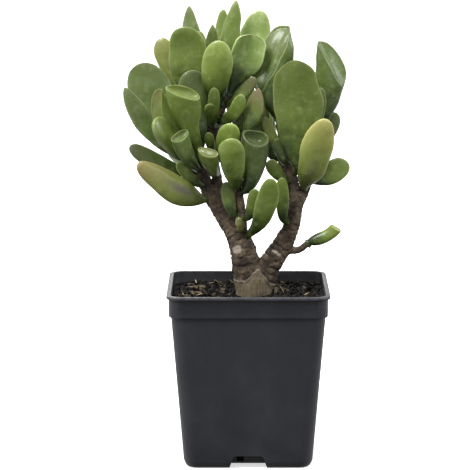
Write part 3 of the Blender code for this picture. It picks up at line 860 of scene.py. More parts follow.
@dataclass(frozen=True)
class Leaf:
    """A leaf: where it grows, where its tip is, its shape and its colour.

    The first nine values are close to those of the construction model. Facing and cup are in degrees, and
    the widths in millimetres. A face of 1 bulges like the back, 0 is flat and less is hollow. A point of 1
    sharpens the tip. The flare is the power of the swelling: a high one keeps the leaf narrow for longer.
    A cut above 0 makes the leaf a spoon: its end is cut off aslant over that share of its length, and the
    cut is hollowed. The cut faces the way given by its opening, in degrees round the leaf from its right
    edge over its face.
    """

    shoot: str
    station: float
    tip: Tuple[float, float, float]
    width: float
    thickness: float
    facing: float
    cup: float
    lift: float
    broadest: float
    hue: Hue = Hue.GREEN
    # Light brightens the leaf's outer part: partly its own tone, partly painted light for how well it is lit.
    light: float = 0.0
    blush: float = 0.0
    face: float = 0.55
    point: float = 0.0
    flare: float = 2.0
    streak: float = 0.0
    cut: float = 0.0
    opening: float = 90.0
    hollow: float = 2.5

    def spine(self, shoots: Dict[str, Shoot]) -> Tuple[np.ndarray, np.ndarray]:
        """Return the four control points of the curve through the leaf, and the way it grows out.

        Args:
            shoots: The shoots.

        Returns:
            The control points, four by three, and the way out.
        """
        centre, direction, radius = shoots[self.shoot].at(self.station)
        tip = np.array(self.tip, dtype=float)
        towards = tip - centre
        if self.station < 1.0:
            towards = towards - direction * towards.dot(direction)
        outward = unit(towards)
        base = centre + outward * (radius + GAP)
        chord = tip - base
        length = float(np.linalg.norm(chord))
        rising = unit((1 - self.lift) * chord / length + self.lift * np.array([0.0, 0.0, 1.0]))
        reach = min(LEAF_REACH * length, LEAF_REACH_MOST)
        return np.array([base, base + reach * outward, tip - LEAF_RISE * length * rising, tip]), outward

    def frame(self, t: np.ndarray, shoots: Dict[str, Shoot]) -> Tuple[np.ndarray, np.ndarray, np.ndarray]:
        """Return the middle of the leaf and the axes across and out of its face, at places along it.

        Args:
            t: The places, from 0 at the base to 1 at the tip.
            shoots: The shoots.

        Returns:
            The middles, the across axes and the face axes, each shaped like t with a last axis of three.
        """
        p, _ = self.spine(shoots)
        s, t = 1.0 - t[..., None], t[..., None]
        centre = s ** 3 * p[0] + 3 * s * s * t * p[1] + 3 * s * t * t * p[2] + t ** 3 * p[3]
        direction = unit(s * s * (p[1] - p[0]) + 2 * s * t * (p[2] - p[1]) + t * t * (p[3] - p[2]))
        turn = math.radians(self.facing)
        across, face = cross_axes(direction, np.array([math.sin(turn), -math.cos(turn), 0.35]))
        return centre, across, face

    def section(self, t: np.ndarray, angle: np.ndarray, closing: np.ndarray) -> Tuple[np.ndarray, np.ndarray]:
        """Return how far points of the skin lie across and above the middle of the leaf.

        The section is a lens that is bent round by the cup angle. The lens swells to its full width where
        the leaf is broadest and to its full thickness before that. Its face side is scaled by the face value
        and its back side makes up for it.

        Args:
            t: The places along the leaf.
            angle: The angles round the section.
            closing: How far the end has closed, from 1 down to 0.

        Returns:
            The reach across and the rise above, in millimetres.
        """
        swell = np.sin(np.minimum(t / self.broadest, 1.0) * math.pi / 2) ** self.flare
        plump = np.sin(np.minimum(t / LEAF_THICKEST, 1.0) * math.pi / 2) ** (self.flare - 1.0)
        past = np.maximum(t - self.broadest, 0.0) / (1.0 - self.broadest)
        half_width = (PETIOLE_WIDTH + (self.width - PETIOLE_WIDTH) * swell) * closing / 2
        half_thick = (PETIOLE_THICKNESS + (self.thickness - PETIOLE_THICKNESS) * plump) / 2
        half_thick = half_thick * closing ** 0.8 * (1.0 - 0.25 * past)
        cosine, sine = np.cos(angle), np.sin(angle)
        body = np.abs(sine) ** 0.85
        front = 1.0 + (self.face - 1.0) * swell
        dish = np.minimum(front, 1.0) - 0.45 * np.maximum(0.6 - front, 0.0) * (1.0 - cosine ** 4)
        share = np.where(sine > 0, dish, 1.0 + 0.35 * (1.0 - front))
        lens = np.sign(sine) * body * half_thick * share
        bend = math.radians(self.cup) * swell * swell / 2 * cosine
        reach = half_width * cosine
        sideways = reach * np.sinc(bend / math.pi) - lens * np.sin(bend)
        rise = reach * np.sin(bend / 2) * np.sinc(bend / 2 / math.pi) + lens * np.cos(bend)
        return sideways, rise

    def skin(self, t: np.ndarray, angle: np.ndarray, closing: np.ndarray,
             shoots: Dict[str, Shoot]) -> np.ndarray:
        """Return points of the skin at places along the leaf and angles round it.

        Args:
            t: The places along the leaf.
            angle: The angles round it.
            closing: How far the end has closed, from 1 down to 0.
            shoots: The shoots.

        Returns:
            The points.
        """
        centre, across, face = self.frame(t, shoots)
        sideways, rise = self.section(t, angle, closing)
        return centre + sideways[..., None] * across + rise[..., None] * face

    def root_rows(self, first: np.ndarray, shoots: Dict[str, Shoot]) -> np.ndarray:
        """Return rings that carry the leaf's foot into its shoot, from the innermost outwards.

        Args:
            first: The first ring of the leaf.
            shoots: The shoots.

        Returns:
            Three rings.
        """
        points, outward = self.spine(shoots)
        flare = ROOT_FLARES[:, None, None]
        return points[0] + (first - points[0]) * flare - outward * ROOT_DEPTHS[:, None, None]

    def blade(self, shoots: Dict[str, Shoot]) -> Tuple[np.ndarray, np.ndarray, np.ndarray]:
        """Return the rings of a plain leaf, with how far along each point is and how near the rim.

        The rows crowd towards the tip: t is one less the 1.8th power of the part left. Past the broadest
        place a round end closes by the root of one less the 2.4th power of the way to the tip, and a pointed
        one by the 0.9th power of one less the 1.6th.

        Args:
            shoots: The shoots.

        Returns:
            The rings, each point's place along the leaf from 0 to 1, and how near the rim it is.
        """
        v = np.linspace(0.0, 1.0, BLADE_ROWS)
        t = 1.0 - (1.0 - v) ** 1.8
        past = np.maximum(t - self.broadest, 0.0) / (1.0 - self.broadest)
        closing = np.maximum(1.0 - past ** (2.4 - 0.8 * self.point), 0.0004) ** (0.5 + 0.4 * self.point)
        t, angle = np.meshgrid(t, round_angles(BLADE_COLUMNS), indexing="ij")
        closing = np.repeat(closing[:, None], BLADE_COLUMNS, axis=1)
        grid = self.skin(t, angle, closing, shoots)
        # The edge value is nearness to the rim and the closing tip, where the material paints a pale
        # highlight.
        edge = np.maximum(np.abs(np.cos(angle)) ** 5, smooth_rise(1.0 - closing, 0.1, 0.95))
        return grid, t, edge * smooth_rise(t, 0.35, 0.75)

    def spoon(self, shoots: Dict[str, Shoot]) -> Tuple[np.ndarray, np.ndarray, np.ndarray]:
        """Return the rings of a leaf whose end is cut aslant and hollowed, as blade does.

        The wall reaches the tip on the side away from the opening and ends earlier, by the cut, where it
        faces the opening. From there the skin rounds over a lip and runs down into the hollow: towards the
        middle of the cut by its share s, and below it by the hollow times one less the cube of 1 - s.

        Args:
            shoots: The shoots.

        Returns:
            The rings, each point's place along the leaf from 0 to 1, and how near the rim it is.
        """
        angle = round_angles(SPOON_COLUMNS)
        towards = (1.0 + np.cos(angle - math.radians(self.opening))) / 2
        last = 1.0 - self.cut * towards ** 1.5
        v = 1.0 - (1.0 - np.linspace(0.0, 1.0, BLADE_ROWS)) ** 1.5
        t = v[:, None] * last[None, :]
        wide = np.repeat(angle[None, :], BLADE_ROWS, axis=0)
        wall = self.skin(t, wide, np.ones_like(t), shoots)
        rim = wall[-1]
        heading = unit(wall[-1] - wall[-4])
        middle = rim.mean(axis=0)
        inward = unit(middle - rim)
        down = -unit(np.cross(rim - middle, np.roll(rim, -1, axis=0) - middle).sum(axis=0))
        if down @ heading.mean(axis=0) > 0:
            down = -down
        lip = LIP_SHARE * self.thickness
        turn = np.linspace(0.0, math.pi, 9)[1:, None, None]
        over = rim + lip * (np.sin(turn) * heading + (1.0 - np.cos(turn)) * inward)
        share = (np.linspace(0.0, 1.0, 16)[1:-1] ** 1.2)[:, None, None]
        inside = over[-1] + share * (middle - over[-1]) + self.hollow * (1.0 - (1.0 - share) ** 3) * down
        grid = np.concatenate([wall, over, inside])
        extra = len(over) + len(inside)
        along = np.concatenate([t, np.repeat(last[None, :], extra, axis=0)])
        rows = np.arange(len(grid))
        # The edge value marks the lip, where the material paints a pale highlight.
        edge = 0.85 * np.exp(-((rows - BLADE_ROWS - 1.5) / 1.6) ** 2)
        return grid, along, np.repeat(edge[:, None], SPOON_COLUMNS, axis=1)

    def surface(self, shoots: Dict[str, Shoot], seed: int) -> Surface:
        """Return the leaf's closed skin, gently uneven, with the numbers that its material reads.

        Args:
            shoots: The shoots.
            seed: What its unevenness starts from.

        Returns:
            The skin.
        """
        grid, along, edge = self.spoon(shoots) if self.cut > 0.0 else self.blade(shoots)
        grid = np.concatenate([self.root_rows(grid[0], shoots), grid])
        along = np.concatenate([np.zeros((3, grid.shape[1])), along])
        edge = np.concatenate([np.zeros((3, grid.shape[1])), edge])
        skin = close_ends(grid)
        flat = skin.points + 40.0 * seed
        wobble = np.stack([lattice_noise(flat, 11.0, 71 + k) * 0.055 * self.width
                           + lattice_noise(flat, 3.5, 81 + k) * 0.1 for k in range(3)], axis=1)
        ends = np.array([0.0, 1.0])
        progress = np.concatenate([along.ravel(), ends])
        skin.points = skin.points + wobble * smooth_rise(progress, 0.05, 0.5)[:, None]
        full = np.ones(len(skin.points))
        angle = round_angles(grid.shape[1])
        middle = np.exp(-((np.cos(angle) - 0.1) / 0.3) ** 2) * (np.sin(angle) > 0)
        band = np.concatenate([(middle * np.exp(-((along - 0.5) / 0.16) ** 2)).ravel(), ends * 0.0])
        rows = np.arange(len(grid))[:, None] + 0.0 * along
        tinted = np.where(rows > BLADE_ROWS + 4, 1.0, 0.2) if self.cut > 0.0 else np.ones_like(rows)
        tinted = np.concatenate([tinted.ravel(), ends])
        skin.stored = {"along": progress, "edge": np.concatenate([edge.ravel(), [0.0, edge[-1, 0]]]),
                       "light": full * self.light, "blush": tinted * self.blush, "streak": band * self.streak}
        return skin

    def build(self, place: str, shoots: Dict[str, Shoot], skins: Dict[Hue, bpy.types.Material],
              seed: int) -> None:
        """Build the leaf and dress it.

        Args:
            place: Its group and number, which name it.
            shoots: The shoots.
            skins: The material of each hue.
            seed: What its unevenness starts from.
        """
        made = self.surface(shoots, seed).make(f"jade_leaf_{place}", skins[self.hue])
        settle(made, self.hue.value, f"leaf_{place}")


GREEN, GREY, YELLOW = Hue.GREEN, Hue.GREY, Hue.YELLOW
LEAVES = {
    "left": (
        Leaf("left_limb", 1.0, (-62, 6, 226), 24, 7, 0, -20, 0.35, 0.7, GREY, 0.1, 0.1, 0.1),
        Leaf("left_limb", 0.94, (-70, -9, 214), 11, 6, 10, 30, 0.5, 0.7, GREY, 0.05, 0.1, 0.4, point=0.4),
        Leaf("left_limb", 0.97, (-54.5, -14, 211.5), 13, 8, -10, 0, 0.45, 0.8, GREEN, 0.15, 0.4, 0.8, cut=0.4,
             opening=150, hollow=0.5),
        Leaf("left_limb", 0.89, (-53, -24, 197), 15, 9, 50, 10, 0.1, 0.78, GREEN, 0.0, 0.0, 0.7),
        Leaf("left_limb", 0.86, (-37.5, -19, 215), 19, 8.4, 0, 0, 0.5, 0.94, GREEN, 0.15, 0.1, 1.0, flare=4.5,
             cut=0.13, opening=32, hollow=2.0),
        Leaf("left_twig", 0.48, (-32, 1, 223), 17, 6, 10, -25, 0.6, 0.76, GREY, -0.2, 0.0, 0.6),
        Leaf("left_twig", 1.0, (-50, 15, 240), 11.5, 7.5, -10, 20, 0.35, 0.82, YELLOW, 0.0, 0.2, 0.8),
        Leaf("left_limb", 0.82, (-67, -12, 181), 10, 6, 0, 20, 0.25, 0.7, GREY, -0.2, 0.3, 0.6),
        Leaf("left_limb", 0.64, (-61.5, -26, 173), 15.8, 7.5, 5, -15, 0.2, 0.52, YELLOW, 0.12, 0.5, 0.9,
             streak=1.0),
        Leaf("left_limb", 0.73, (-40, -17, 172), 6.5, 4.5, 0, 10, 0.2, 0.7, GREEN, 0.1),
        Leaf("left_limb", 0.82, (-38.5, -26, 189), 13, 5.2, 30, 0, 0.4, 0.9, GREY, 0.2, 0.0, 1.0, flare=2.4,
             cut=0.08, opening=70, hollow=1.8),
        Leaf("crown_twig", 0.51, (-22.5, -8, 188), 5.5, 4.5, 0, -10, 0.5, 0.75, GREEN, 0.25),
    ),
    "crown": (
        Leaf("upper_twig", 0.93, (-36, 6, 246), 22, 7.5, 0, -15, 0.5, 0.78, GREEN, 0.0, 0.0, 0.45),
        Leaf("upper_twig", 0.84, (-34, 32, 257), 15, 6, 0, 10, 0.6, 0.48, GREY, 0.1, 0.1, 0.6, point=0.4),
        Leaf("upper_twig", 1.0, (-27.5, 25.5, 243), 8, 5, 0, 0, 0.4, 0.7, GREEN, 0.2),
        Leaf("crown_twig", 0.86, (-20.5, 16, 248), 12, 5, 0, 10, 0.6, 0.5, GREEN, -0.25, point=0.5),
        Leaf("crown_twig", 0.92, (-16.5, -6, 240), 18, 7, 0, -20, 0.6, 0.68, GREEN, 0.5, 0.1, 0.95),
        Leaf("crown_twig", 0.98, (-7.5, 25, 261), 11.5, 6.5, 0, -10, 0.5, 0.62, GREEN, 0.05, 0.0, 0.7,
             point=0.3),
        Leaf("crown_twig", 0.8, (-14, 34, 255), 9, 6, 0, 0, 0.5, 0.7, GREEN, 0.15),
        Leaf("crown_twig", 0.93, (7, 34, 254), 18, 6.5, 0, -15, 0.6, 0.72, GREY, 1.0, 0.1, 0.5),
        Leaf("crown_twig", 1.0, (3, 6, 243), 21, 4.6, 12, 110, 0.4, 0.84, GREY, 0.9, 0.0, 0.3),
        Leaf("crown_twig", 0.96, (3.5, -2, 219), 7, 5, -20, 10, 0.3, 0.7, GREEN, -0.3, 0.5),
        Leaf("crown_twig", 0.78, (-4, -8, 210), 8, 5, 0, 10, 0.8, 0.7, GREEN, 0.25),
        Leaf("crown_twig", 0.73, (-19, -5, 213), 7, 5, 0, 0, 0.5, 0.75, GREEN, -0.1),
        Leaf("crown_twig", 0.8, (-22, -4, 204), 7, 5, 0, 0, 0.5, 0.75, GREEN, -0.1),
    ),
    "middle": (
        Leaf("middle_twig", 1.0, (6, -5, 213), 11, 6, -20, 20, 0.5, 0.6, GREEN, -0.1, 0.9, point=0.6),
        Leaf("middle_twig", 0.94, (9, 6, 201), 9, 5.5, 0, 0, 0.5, 0.7, GREEN, -0.25),
        Leaf("middle_twig", 0.53, (-10, -25, 187), 15, 6.5, 0, -30, 0.5, 0.82, GREEN, 0.25, 0.0, 0.9),
        Leaf("crown_twig", 0.43, (-9.5, -13, 194), 13, 5.5, 0, -20, 0.5, 0.75, GREEN, 0.6, 0.0, 0.9),
        Leaf("crown_twig", 0.3, (-23, -23, 179.5), 12.5, 6.2, -20, 0, 0.4, 0.94, GREEN, 0.1, 0.3, 1.0,
             cut=0.05, opening=60, hollow=-0.5),
        Leaf("middle_twig", 0.5, (4.5, -11, 189), 15.5, 11, 10, 0, 0.5, 0.95, GREY, -0.35, 0.0, 1.0,
             flare=1.5, cut=0.18, opening=85, hollow=4.0),
        Leaf("middle_twig", 0.27, (-13, -9, 160), 8, 5.5, 0, 0, 0.4, 0.7, GREEN, -0.25),
        Leaf("middle_twig", 0.24, (4, -16, 157), 8, 5.5, 0, 0, 0.5, 0.7, GREEN, 0.0),
        Leaf("left_limb", 0.32, (12.8, -22, 163.5), 12.5, 6.5, 10, -10, 0.75, 0.7, GREEN, 0.1),
    ),
    "right": (
        Leaf("right_limb", 1.0, (12.0, 9, 246), 25, 11, 0, 0, 0.5, 0.66, GREY, 0.1, 0.1, 1.0, flare=1.6,
             cut=0.58, opening=144, hollow=-1.2),
        Leaf("right_limb", 0.73, (27, -11, 230), 28, 8, 0, -20, 0.7, 0.73, GREEN, -0.05, 0.05, 0.15),
        Leaf("right_twig", 1.0, (49, 8, 238), 19, 10, 0, 0, 0.4, 0.72, GREY, 0.05, 0.0, 1.0, cut=0.42,
             opening=25, hollow=0.5),
        Leaf("right_twig", 0.69, (41, 3, 213), 9, 6, 0, 0, 0.5, 0.7, GREY, -0.05),
        Leaf("right_twig", 0.3, (41.5, -24, 198), 18, 8, 5, -15, 0.6, 0.65, YELLOW, 0.55, 0.3, 0.9,
             streak=0.4),
        Leaf("right_twig", 0.42, (55.5, 3, 171.5), 13, 6.5, 0, 15, 0.35, 0.68, GREEN, 0.0),
        Leaf("right_twig", 0.88, (50, 17, 197), 9, 6, 0, 0, 0.5, 0.7, GREY, 0.0),
        Leaf("right_limb", 0.69, (11.5, -8, 172), 8, 6.5, 0, 0, 0.2, 0.75, GREEN, -0.15),
        Leaf("right_limb", 0.44, (19, -12, 163), 8, 5.5, 0, 0, 0.5, 0.7, GREEN, 0.1),
        Leaf("right_limb", 0.9, (9, -2, 196.5), 6.2, 4.6, -10, 15, 0.5, 0.66, YELLOW, -0.15),
        Leaf("right_limb", 0.8, (16, -3, 184), 6, 4.6, 0, 0, 0.5, 0.7, GREY, -0.3),
    ),
    "side": (
        Leaf("side_twig", 1.0, (49.6, -8, 133.6), 7.6, 6.0, 0, 0, 0.5, 0.5, GREEN, 0.35, 0.3, 1.0, flare=1.05,
             cut=0.03, opening=90, hollow=-0.3),
    ),
    "back": (
        Leaf("back_twig", 1.0, (-5, 47, 217), 17, 7, 180, 20, 0.5, 0.7, GREEN, 0.0),
        Leaf("back_twig", 0.96, (-20, 54, 196), 15, 7, 180, 20, 0.5, 0.7, GREEN, 0.1, 0.1, 0.2),
        Leaf("back_twig", 0.88, (12, 60, 190), 15, 7, 180, 20, 0.5, 0.7, GREEN, 0.1, 0.3, 0.8),
        Leaf("back_twig", 0.74, (-8, 60, 178), 13, 6.5, 180, 10, 0.4, 0.7, GREEN, -0.1),
        Leaf("back_left_twig", 1.0, (-48, 38, 205), 16, 7, 180, 20, 0.5, 0.7, GREEN, 0.0),
        Leaf("back_left_twig", 0.91, (-32, 50, 208), 14, 7, 180, 20, 0.5, 0.7, GREEN, 0.2, 0.2),
        Leaf("back_left_twig", 0.67, (-46, 46, 176), 13, 6.5, 180, 10, 0.4, 0.7, GREEN, -0.1),
        Leaf("back_right_twig", 1.0, (29, 40, 209), 17, 7, 180, 20, 0.5, 0.7, GREEN, 0.0, 0.1, 0.1),
        Leaf("back_right_twig", 0.92, (9, 38, 205), 11, 6.5, 180, 20, 0.5, 0.7, GREEN, 0.1),
        Leaf("back_right_twig", 0.73, (38, 50, 180), 14, 6.5, 180, 10, 0.4, 0.7, GREEN, 0.15, 0.4),
        Leaf("right_twig", 0.72, (40, 36, 204), 14, 6.5, 180, 10, 0.5, 0.7, GREEN, 0.0),
    ),
}


@dataclass
class Foliage:
    """All the leaves and their three waxy skins."""

    shoots: Dict[str, Shoot]
    leaves: Dict[str, Tuple[Leaf, ...]]

    def stub(self, skin: bpy.types.Material) -> None:
        """Build the cut yellow-green stub of a shoot at the foot of the middle twig.

        Args:
            skin: Its material.
        """
        shoot = Shoot([(-3.6, -5.0, 131.0, 1.6), (-4.4, -8.0, 133.2, 2.1), (-4.9, -9.4, 136.0, 2.4),
                       (-5.1, -10.0, 138.4, 2.2)])
        surface = shoot.tube(0.5, 24)
        count = len(surface.points)
        rough = lattice_noise(surface.points, 1.4, 61)
        surface.points = surface.points + 0.3 * rough[:, None]
        # The stub's light value of -0.25 darkens it, as the leaves' light value does.
        surface.stored = {"along": np.full(count, 0.8), "edge": np.clip(0.4 + rough, 0.0, 1.0),
                          "light": np.full(count, -0.25), "blush": np.full(count, 0.4),
                          "streak": 0.3 * smooth_rise(rough, 0.0, 0.5)}
        settle(surface.make("jade_stub", skin), Hue.YELLOW.value)

    def build(self) -> None:
        """Build every leaf, each as its own piece, and the stub."""
        skins = {hue: finish.material(hue) for hue, finish in LEAF_FINISHES.items()}
        seed = 0
        for group, leaves in self.leaves.items():
            for number, leaf in enumerate(leaves, start=1):
                leaf.build(f"{group}_{number:02d}", self.shoots, skins, seed)
                seed += 1
        self.stub(skins[Hue.YELLOW])


# --- Pot ---


@dataclass(frozen=True)
class PlasticFinish:
    """The colours of the moulded plastic."""

    black: Colour = (0.023, 0.024, 0.029)
    smudge_and_highlight_grey: Colour = (0.048, 0.049, 0.055)
    dust: Colour = (0.13, 0.115, 0.095)

    def material(self) -> bpy.types.Material:
        """Make the plastic: satin charcoal with drawn-out flow marks, a painted lip highlight and a little
        dust.

        Returns:
            The material.
        """
        paint = Paint("pot_plastic")
        where = paint.place()
        flow = paint.noise(paint.place((1.0, 1.0, 0.18)), 60.0, 4.0, 0.6)
        smudge = paint.noise(where, 35.0, 4.0, 0.6, 0.3)
        grain = paint.noise(where, 1900.0, 2.0, 0.6)
        height = paint.axis(where, 2)
        # Painted highlight: a patchy lighter band along the top of the lip.
        lip = height.step(0.0975, 0.0992) * paint.noise(where, 220.0, 3.0).step(0.35, 0.6)
        splash = height.step(0.075, 0.098) * paint.noise(where, 420.0, 4.0, 0.7).step(0.58, 0.7)
        colour = paint.shift(self.black, flow, 0.55)
        colour = paint.mix(smudge.step(0.45, 0.7) * 0.3, colour, self.smudge_and_highlight_grey)
        colour = paint.mix(lip * 0.75, colour, self.smudge_and_highlight_grey)
        colour = paint.mix(splash * 0.2, colour, self.dust)
        rough = smudge * 0.22 + grain * 0.1 + lip * 0.08 + 0.3
        low = paint.bump(flow, 0.0006, 0.35)
        return paint.finish(colour, rough, paint.bump(grain, 0.00006, 0.5, low), {"Specular IOR Level": 0.45})


@dataclass
class Pot:
    """The square moulded pot: lip, upright band, ledge, tapered body, four alcoves and their drain holes."""

    finish: PlasticFinish
    height: float = 100.0
    lip_side: float = 92.0
    band_side: float = 89.4
    band_depth: float = 12.5
    body_top: float = 86.8
    body_foot: float = 72.6
    wall: float = 1.2
    corner: float = 8.0
    corner_points: int = 14
    alcove_half_low: float = 12.3
    alcove_half_high: float = 8.75
    alcove_height: float = 7.5
    alcove_depth: float = 14.0
    beyond: float = 5.0

    def side(self, height: float) -> float:
        """Return the side of the tapered body at a height."""
        return self.body_foot + (self.body_top - self.body_foot) * height / (self.height - self.band_depth)

    def ring(self, side: float, height: float, corner: float) -> np.ndarray:
        """Return a level square ring with round corners.

        Each corner is a quarter circle about a point that lies the corner's radius in from both sides.

        Args:
            side: The side of the square.
            height: Its height.
            corner: The radius of its corners.

        Returns:
            The points of the ring, anticlockwise.
        """
        quarter = np.linspace(0.0, math.pi / 2, self.corner_points)
        angle = quarter[None, :] + (np.arange(4) * math.pi / 2)[:, None]
        middle = (np.arange(4) + 0.5)[:, None] * math.pi / 2
        reach = side / 2 - corner
        x = np.sign(np.cos(middle)) * reach + corner * np.cos(angle)
        y = np.sign(np.sin(middle)) * reach + corner * np.sin(angle)
        return np.stack([x.ravel(), y.ravel(), np.full(x.size, height)], axis=1)

    def outside(self) -> Surface:
        """Return the outside of the pot, with small rounds at the foot, the ledge and the lip.

        Returns:
            The closed outside.
        """
        top, band, lip, body = self.height, self.band_side, self.lip_side, self.body_top
        ledge, foot = top - self.band_depth, self.side(0.0)
        rows = [(foot - 7.0, 0.0, 4.5), (foot - 4.6, 0.2, 5.6), (foot - 2.4, 0.9, 6.8),
                (foot - 0.7, 2.2, 7.7)]
        walls = [(self.side(4.2), 4.2), (self.side(30.0), 30.0), (self.side(60.0), 60.0), (body, ledge),
                 (body + 0.5, ledge + 0.12), (band - 0.7, ledge + 0.2), (band - 0.2, ledge + 0.45),
                 (band, ledge + 1.1), (band, top - 2.3), (band + 0.4, top - 2.0), (lip - 0.9, top - 1.95),
                 (lip - 0.25, top - 1.7), (lip, top - 1.2), (lip, top - 0.75), (lip - 0.35, top - 0.3),
                 (lip - 1.1, top)]
        rows += [(side, height, self.corner) for side, height in walls]
        return close_ends(np.array([self.ring(*row) for row in rows]))

    def hollow(self) -> Surface:
        """Return the hollow of the pot, which lies the wall's thickness in from its outside.

        Returns:
            The closed hollow, which ends above the lip.
        """
        floor, corner = self.wall, self.corner - self.wall
        thick = 2 * floor
        step = self.height - self.band_depth + floor
        body, band, foot = self.body_top - thick, self.band_side - thick, self.side(4.0) - thick
        rows = [(self.side(floor) - thick - 8.0, floor, corner - 2.0),
                (foot - 2.0, 2.0 + floor, corner - 0.7), (foot, 4.0 + floor, corner), (body, step, corner),
                (band - 0.6, step + 0.4, corner), (band, step + 1.0, corner),
                (band, self.height + self.beyond, corner)]
        return close_ends(np.array([self.ring(*row) for row in rows]))

    def block(self, side: int, half_low: float, half_high: float, low: float, high: float, back: float,
              front: float, shift: float = 0.0) -> Surface:
        """Return a block through one wall of the foot, narrower at its top.

        Args:
            side: Which wall, 0 to 3, counted anticlockwise from the front.
            half_low: Half its width at the bottom.
            half_high: Half its width at the top.
            low: The height of its bottom.
            high: The height of its top.
            back: How far its inner end is from the middle of the pot.
            front: How far its outer end is from the middle of the pot.
            shift: How far it stands to the right of the wall's middle.

        Returns:
            The block.
        """
        round_off = min(1.6, (high - low) / 3)
        slope = round_off * 0.3
        right = [(half_low, low), (half_high + 0.1, high - round_off), (half_high - slope, high - slope),
                 (half_high - round_off, high)]
        section = np.array(right + [(-x, z) for x, z in reversed(right)])
        depth = np.array([back, front])[:, None]
        across = section[None, :, 0] + shift + 0.0 * depth
        turn = math.radians(90.0 * side)
        x = across * math.cos(turn) + depth * math.sin(turn)
        y = across * math.sin(turn) - depth * math.cos(turn)
        return close_ends(np.stack([x, y, section[None, :, 1] + 0.0 * depth], axis=2))

    def cut(self, made: bpy.types.Object, cutter: bpy.types.Object) -> None:
        """Cut one object out of another and remove the cutter.

        Args:
            made: The object that is cut.
            cutter: The object taken out of it.
        """
        work = made.modifiers.new("cut", "BOOLEAN")
        work.object = cutter
        work.solver = "EXACT"
        apply_modifiers(made)
        bpy.data.objects.remove(cutter, do_unlink=True)

    def alcove(self, side: int, more: float) -> Surface:
        """Return the space of one alcove, larger by some more on every side.

        Args:
            side: Which wall, 0 to 3.
            more: How much larger, in millimetres.

        Returns:
            The block.
        """
        face = self.side(0.0) / 2
        return self.block(side, self.alcove_half_low + more, self.alcove_half_high + more, -self.beyond,
                          self.alcove_height + more, face - self.alcove_depth - more, face + self.beyond)

    def drain(self, side: int) -> Surface:
        """Return the small hole through the back of one alcove.

        Args:
            side: Which wall, 0 to 3.

        Returns:
            The block.
        """
        face = self.side(0.0) / 2
        return self.block(side, half_low=2.0, half_high=2.0, low=1.2, high=5.2, back=face - 16.4,
                          front=face - 12.8, shift=-4.5)

    def build(self) -> None:
        """Build the pot: cut the hollow, which keeps a wall round the alcoves, then the alcoves and holes."""
        made = self.outside().make("nursery_pot")
        hollow = self.hollow().make("hollow")
        for side in range(4):
            self.cut(hollow, self.alcove(side, self.wall).make("shell"))
        self.cut(made, hollow)
        for side in range(4):
            self.cut(made, self.alcove(side, 0.0).make("alcove"))
            self.cut(made, self.drain(side).make("drain"))
        made.data.shade_smooth()
        made.data.set_sharp_from_angle(angle=math.radians(38.0))
        dress(made, self.finish.material())
        settle(made, "pot_plastic", "pot")


# --- Potting mix ---


@dataclass(frozen=True)
class MixFinish:
    """A material for one part of the potting mix."""

    name: str
    dark: Colour
    light: Colour
    per_metre: float
    rough: float

    def material(self) -> bpy.types.Material:
        """Make the material: two colours in crumbs of one size, with fine grit on them.

        Returns:
            The material.
        """
        paint = Paint(self.name)
        where = paint.place()
        crumbs = paint.noise(where, self.per_metre, 5.0, 0.7)
        grit = paint.noise(where, self.per_metre * 7.0, 3.0, 0.7)
        colour = paint.mix(crumbs.step(0.4, 0.62), self.dark, self.light)
        colour = paint.shift(colour, grit, 1.3)
        height = crumbs * 0.7 + grit * 0.3
        return paint.finish(colour, grit * 0.15 + self.rough, paint.bump(height, 0.0008, 0.9),
                            {"Specular IOR Level": 0.15})


def turned(points: np.ndarray, quaternions: np.ndarray) -> np.ndarray:
    """Turn one shape by each of many unit quaternions.

    Args:
        points: The shape's points, or one shape for each quaternion.
        quaternions: One row of w, x, y, z for each copy.

    Returns:
        The turned copies. A point p becomes p + 2w (v x p) + 2 v x (v x p), where v is the x, y, z part.
    """
    axis = quaternions[:, None, 1:]
    once = np.cross(axis, points)
    return points + 2.0 * quaternions[:, None, :1] * once + 2.0 * np.cross(axis, once)


LUMP_RINGS = 4
LUMP_SIDES = 7


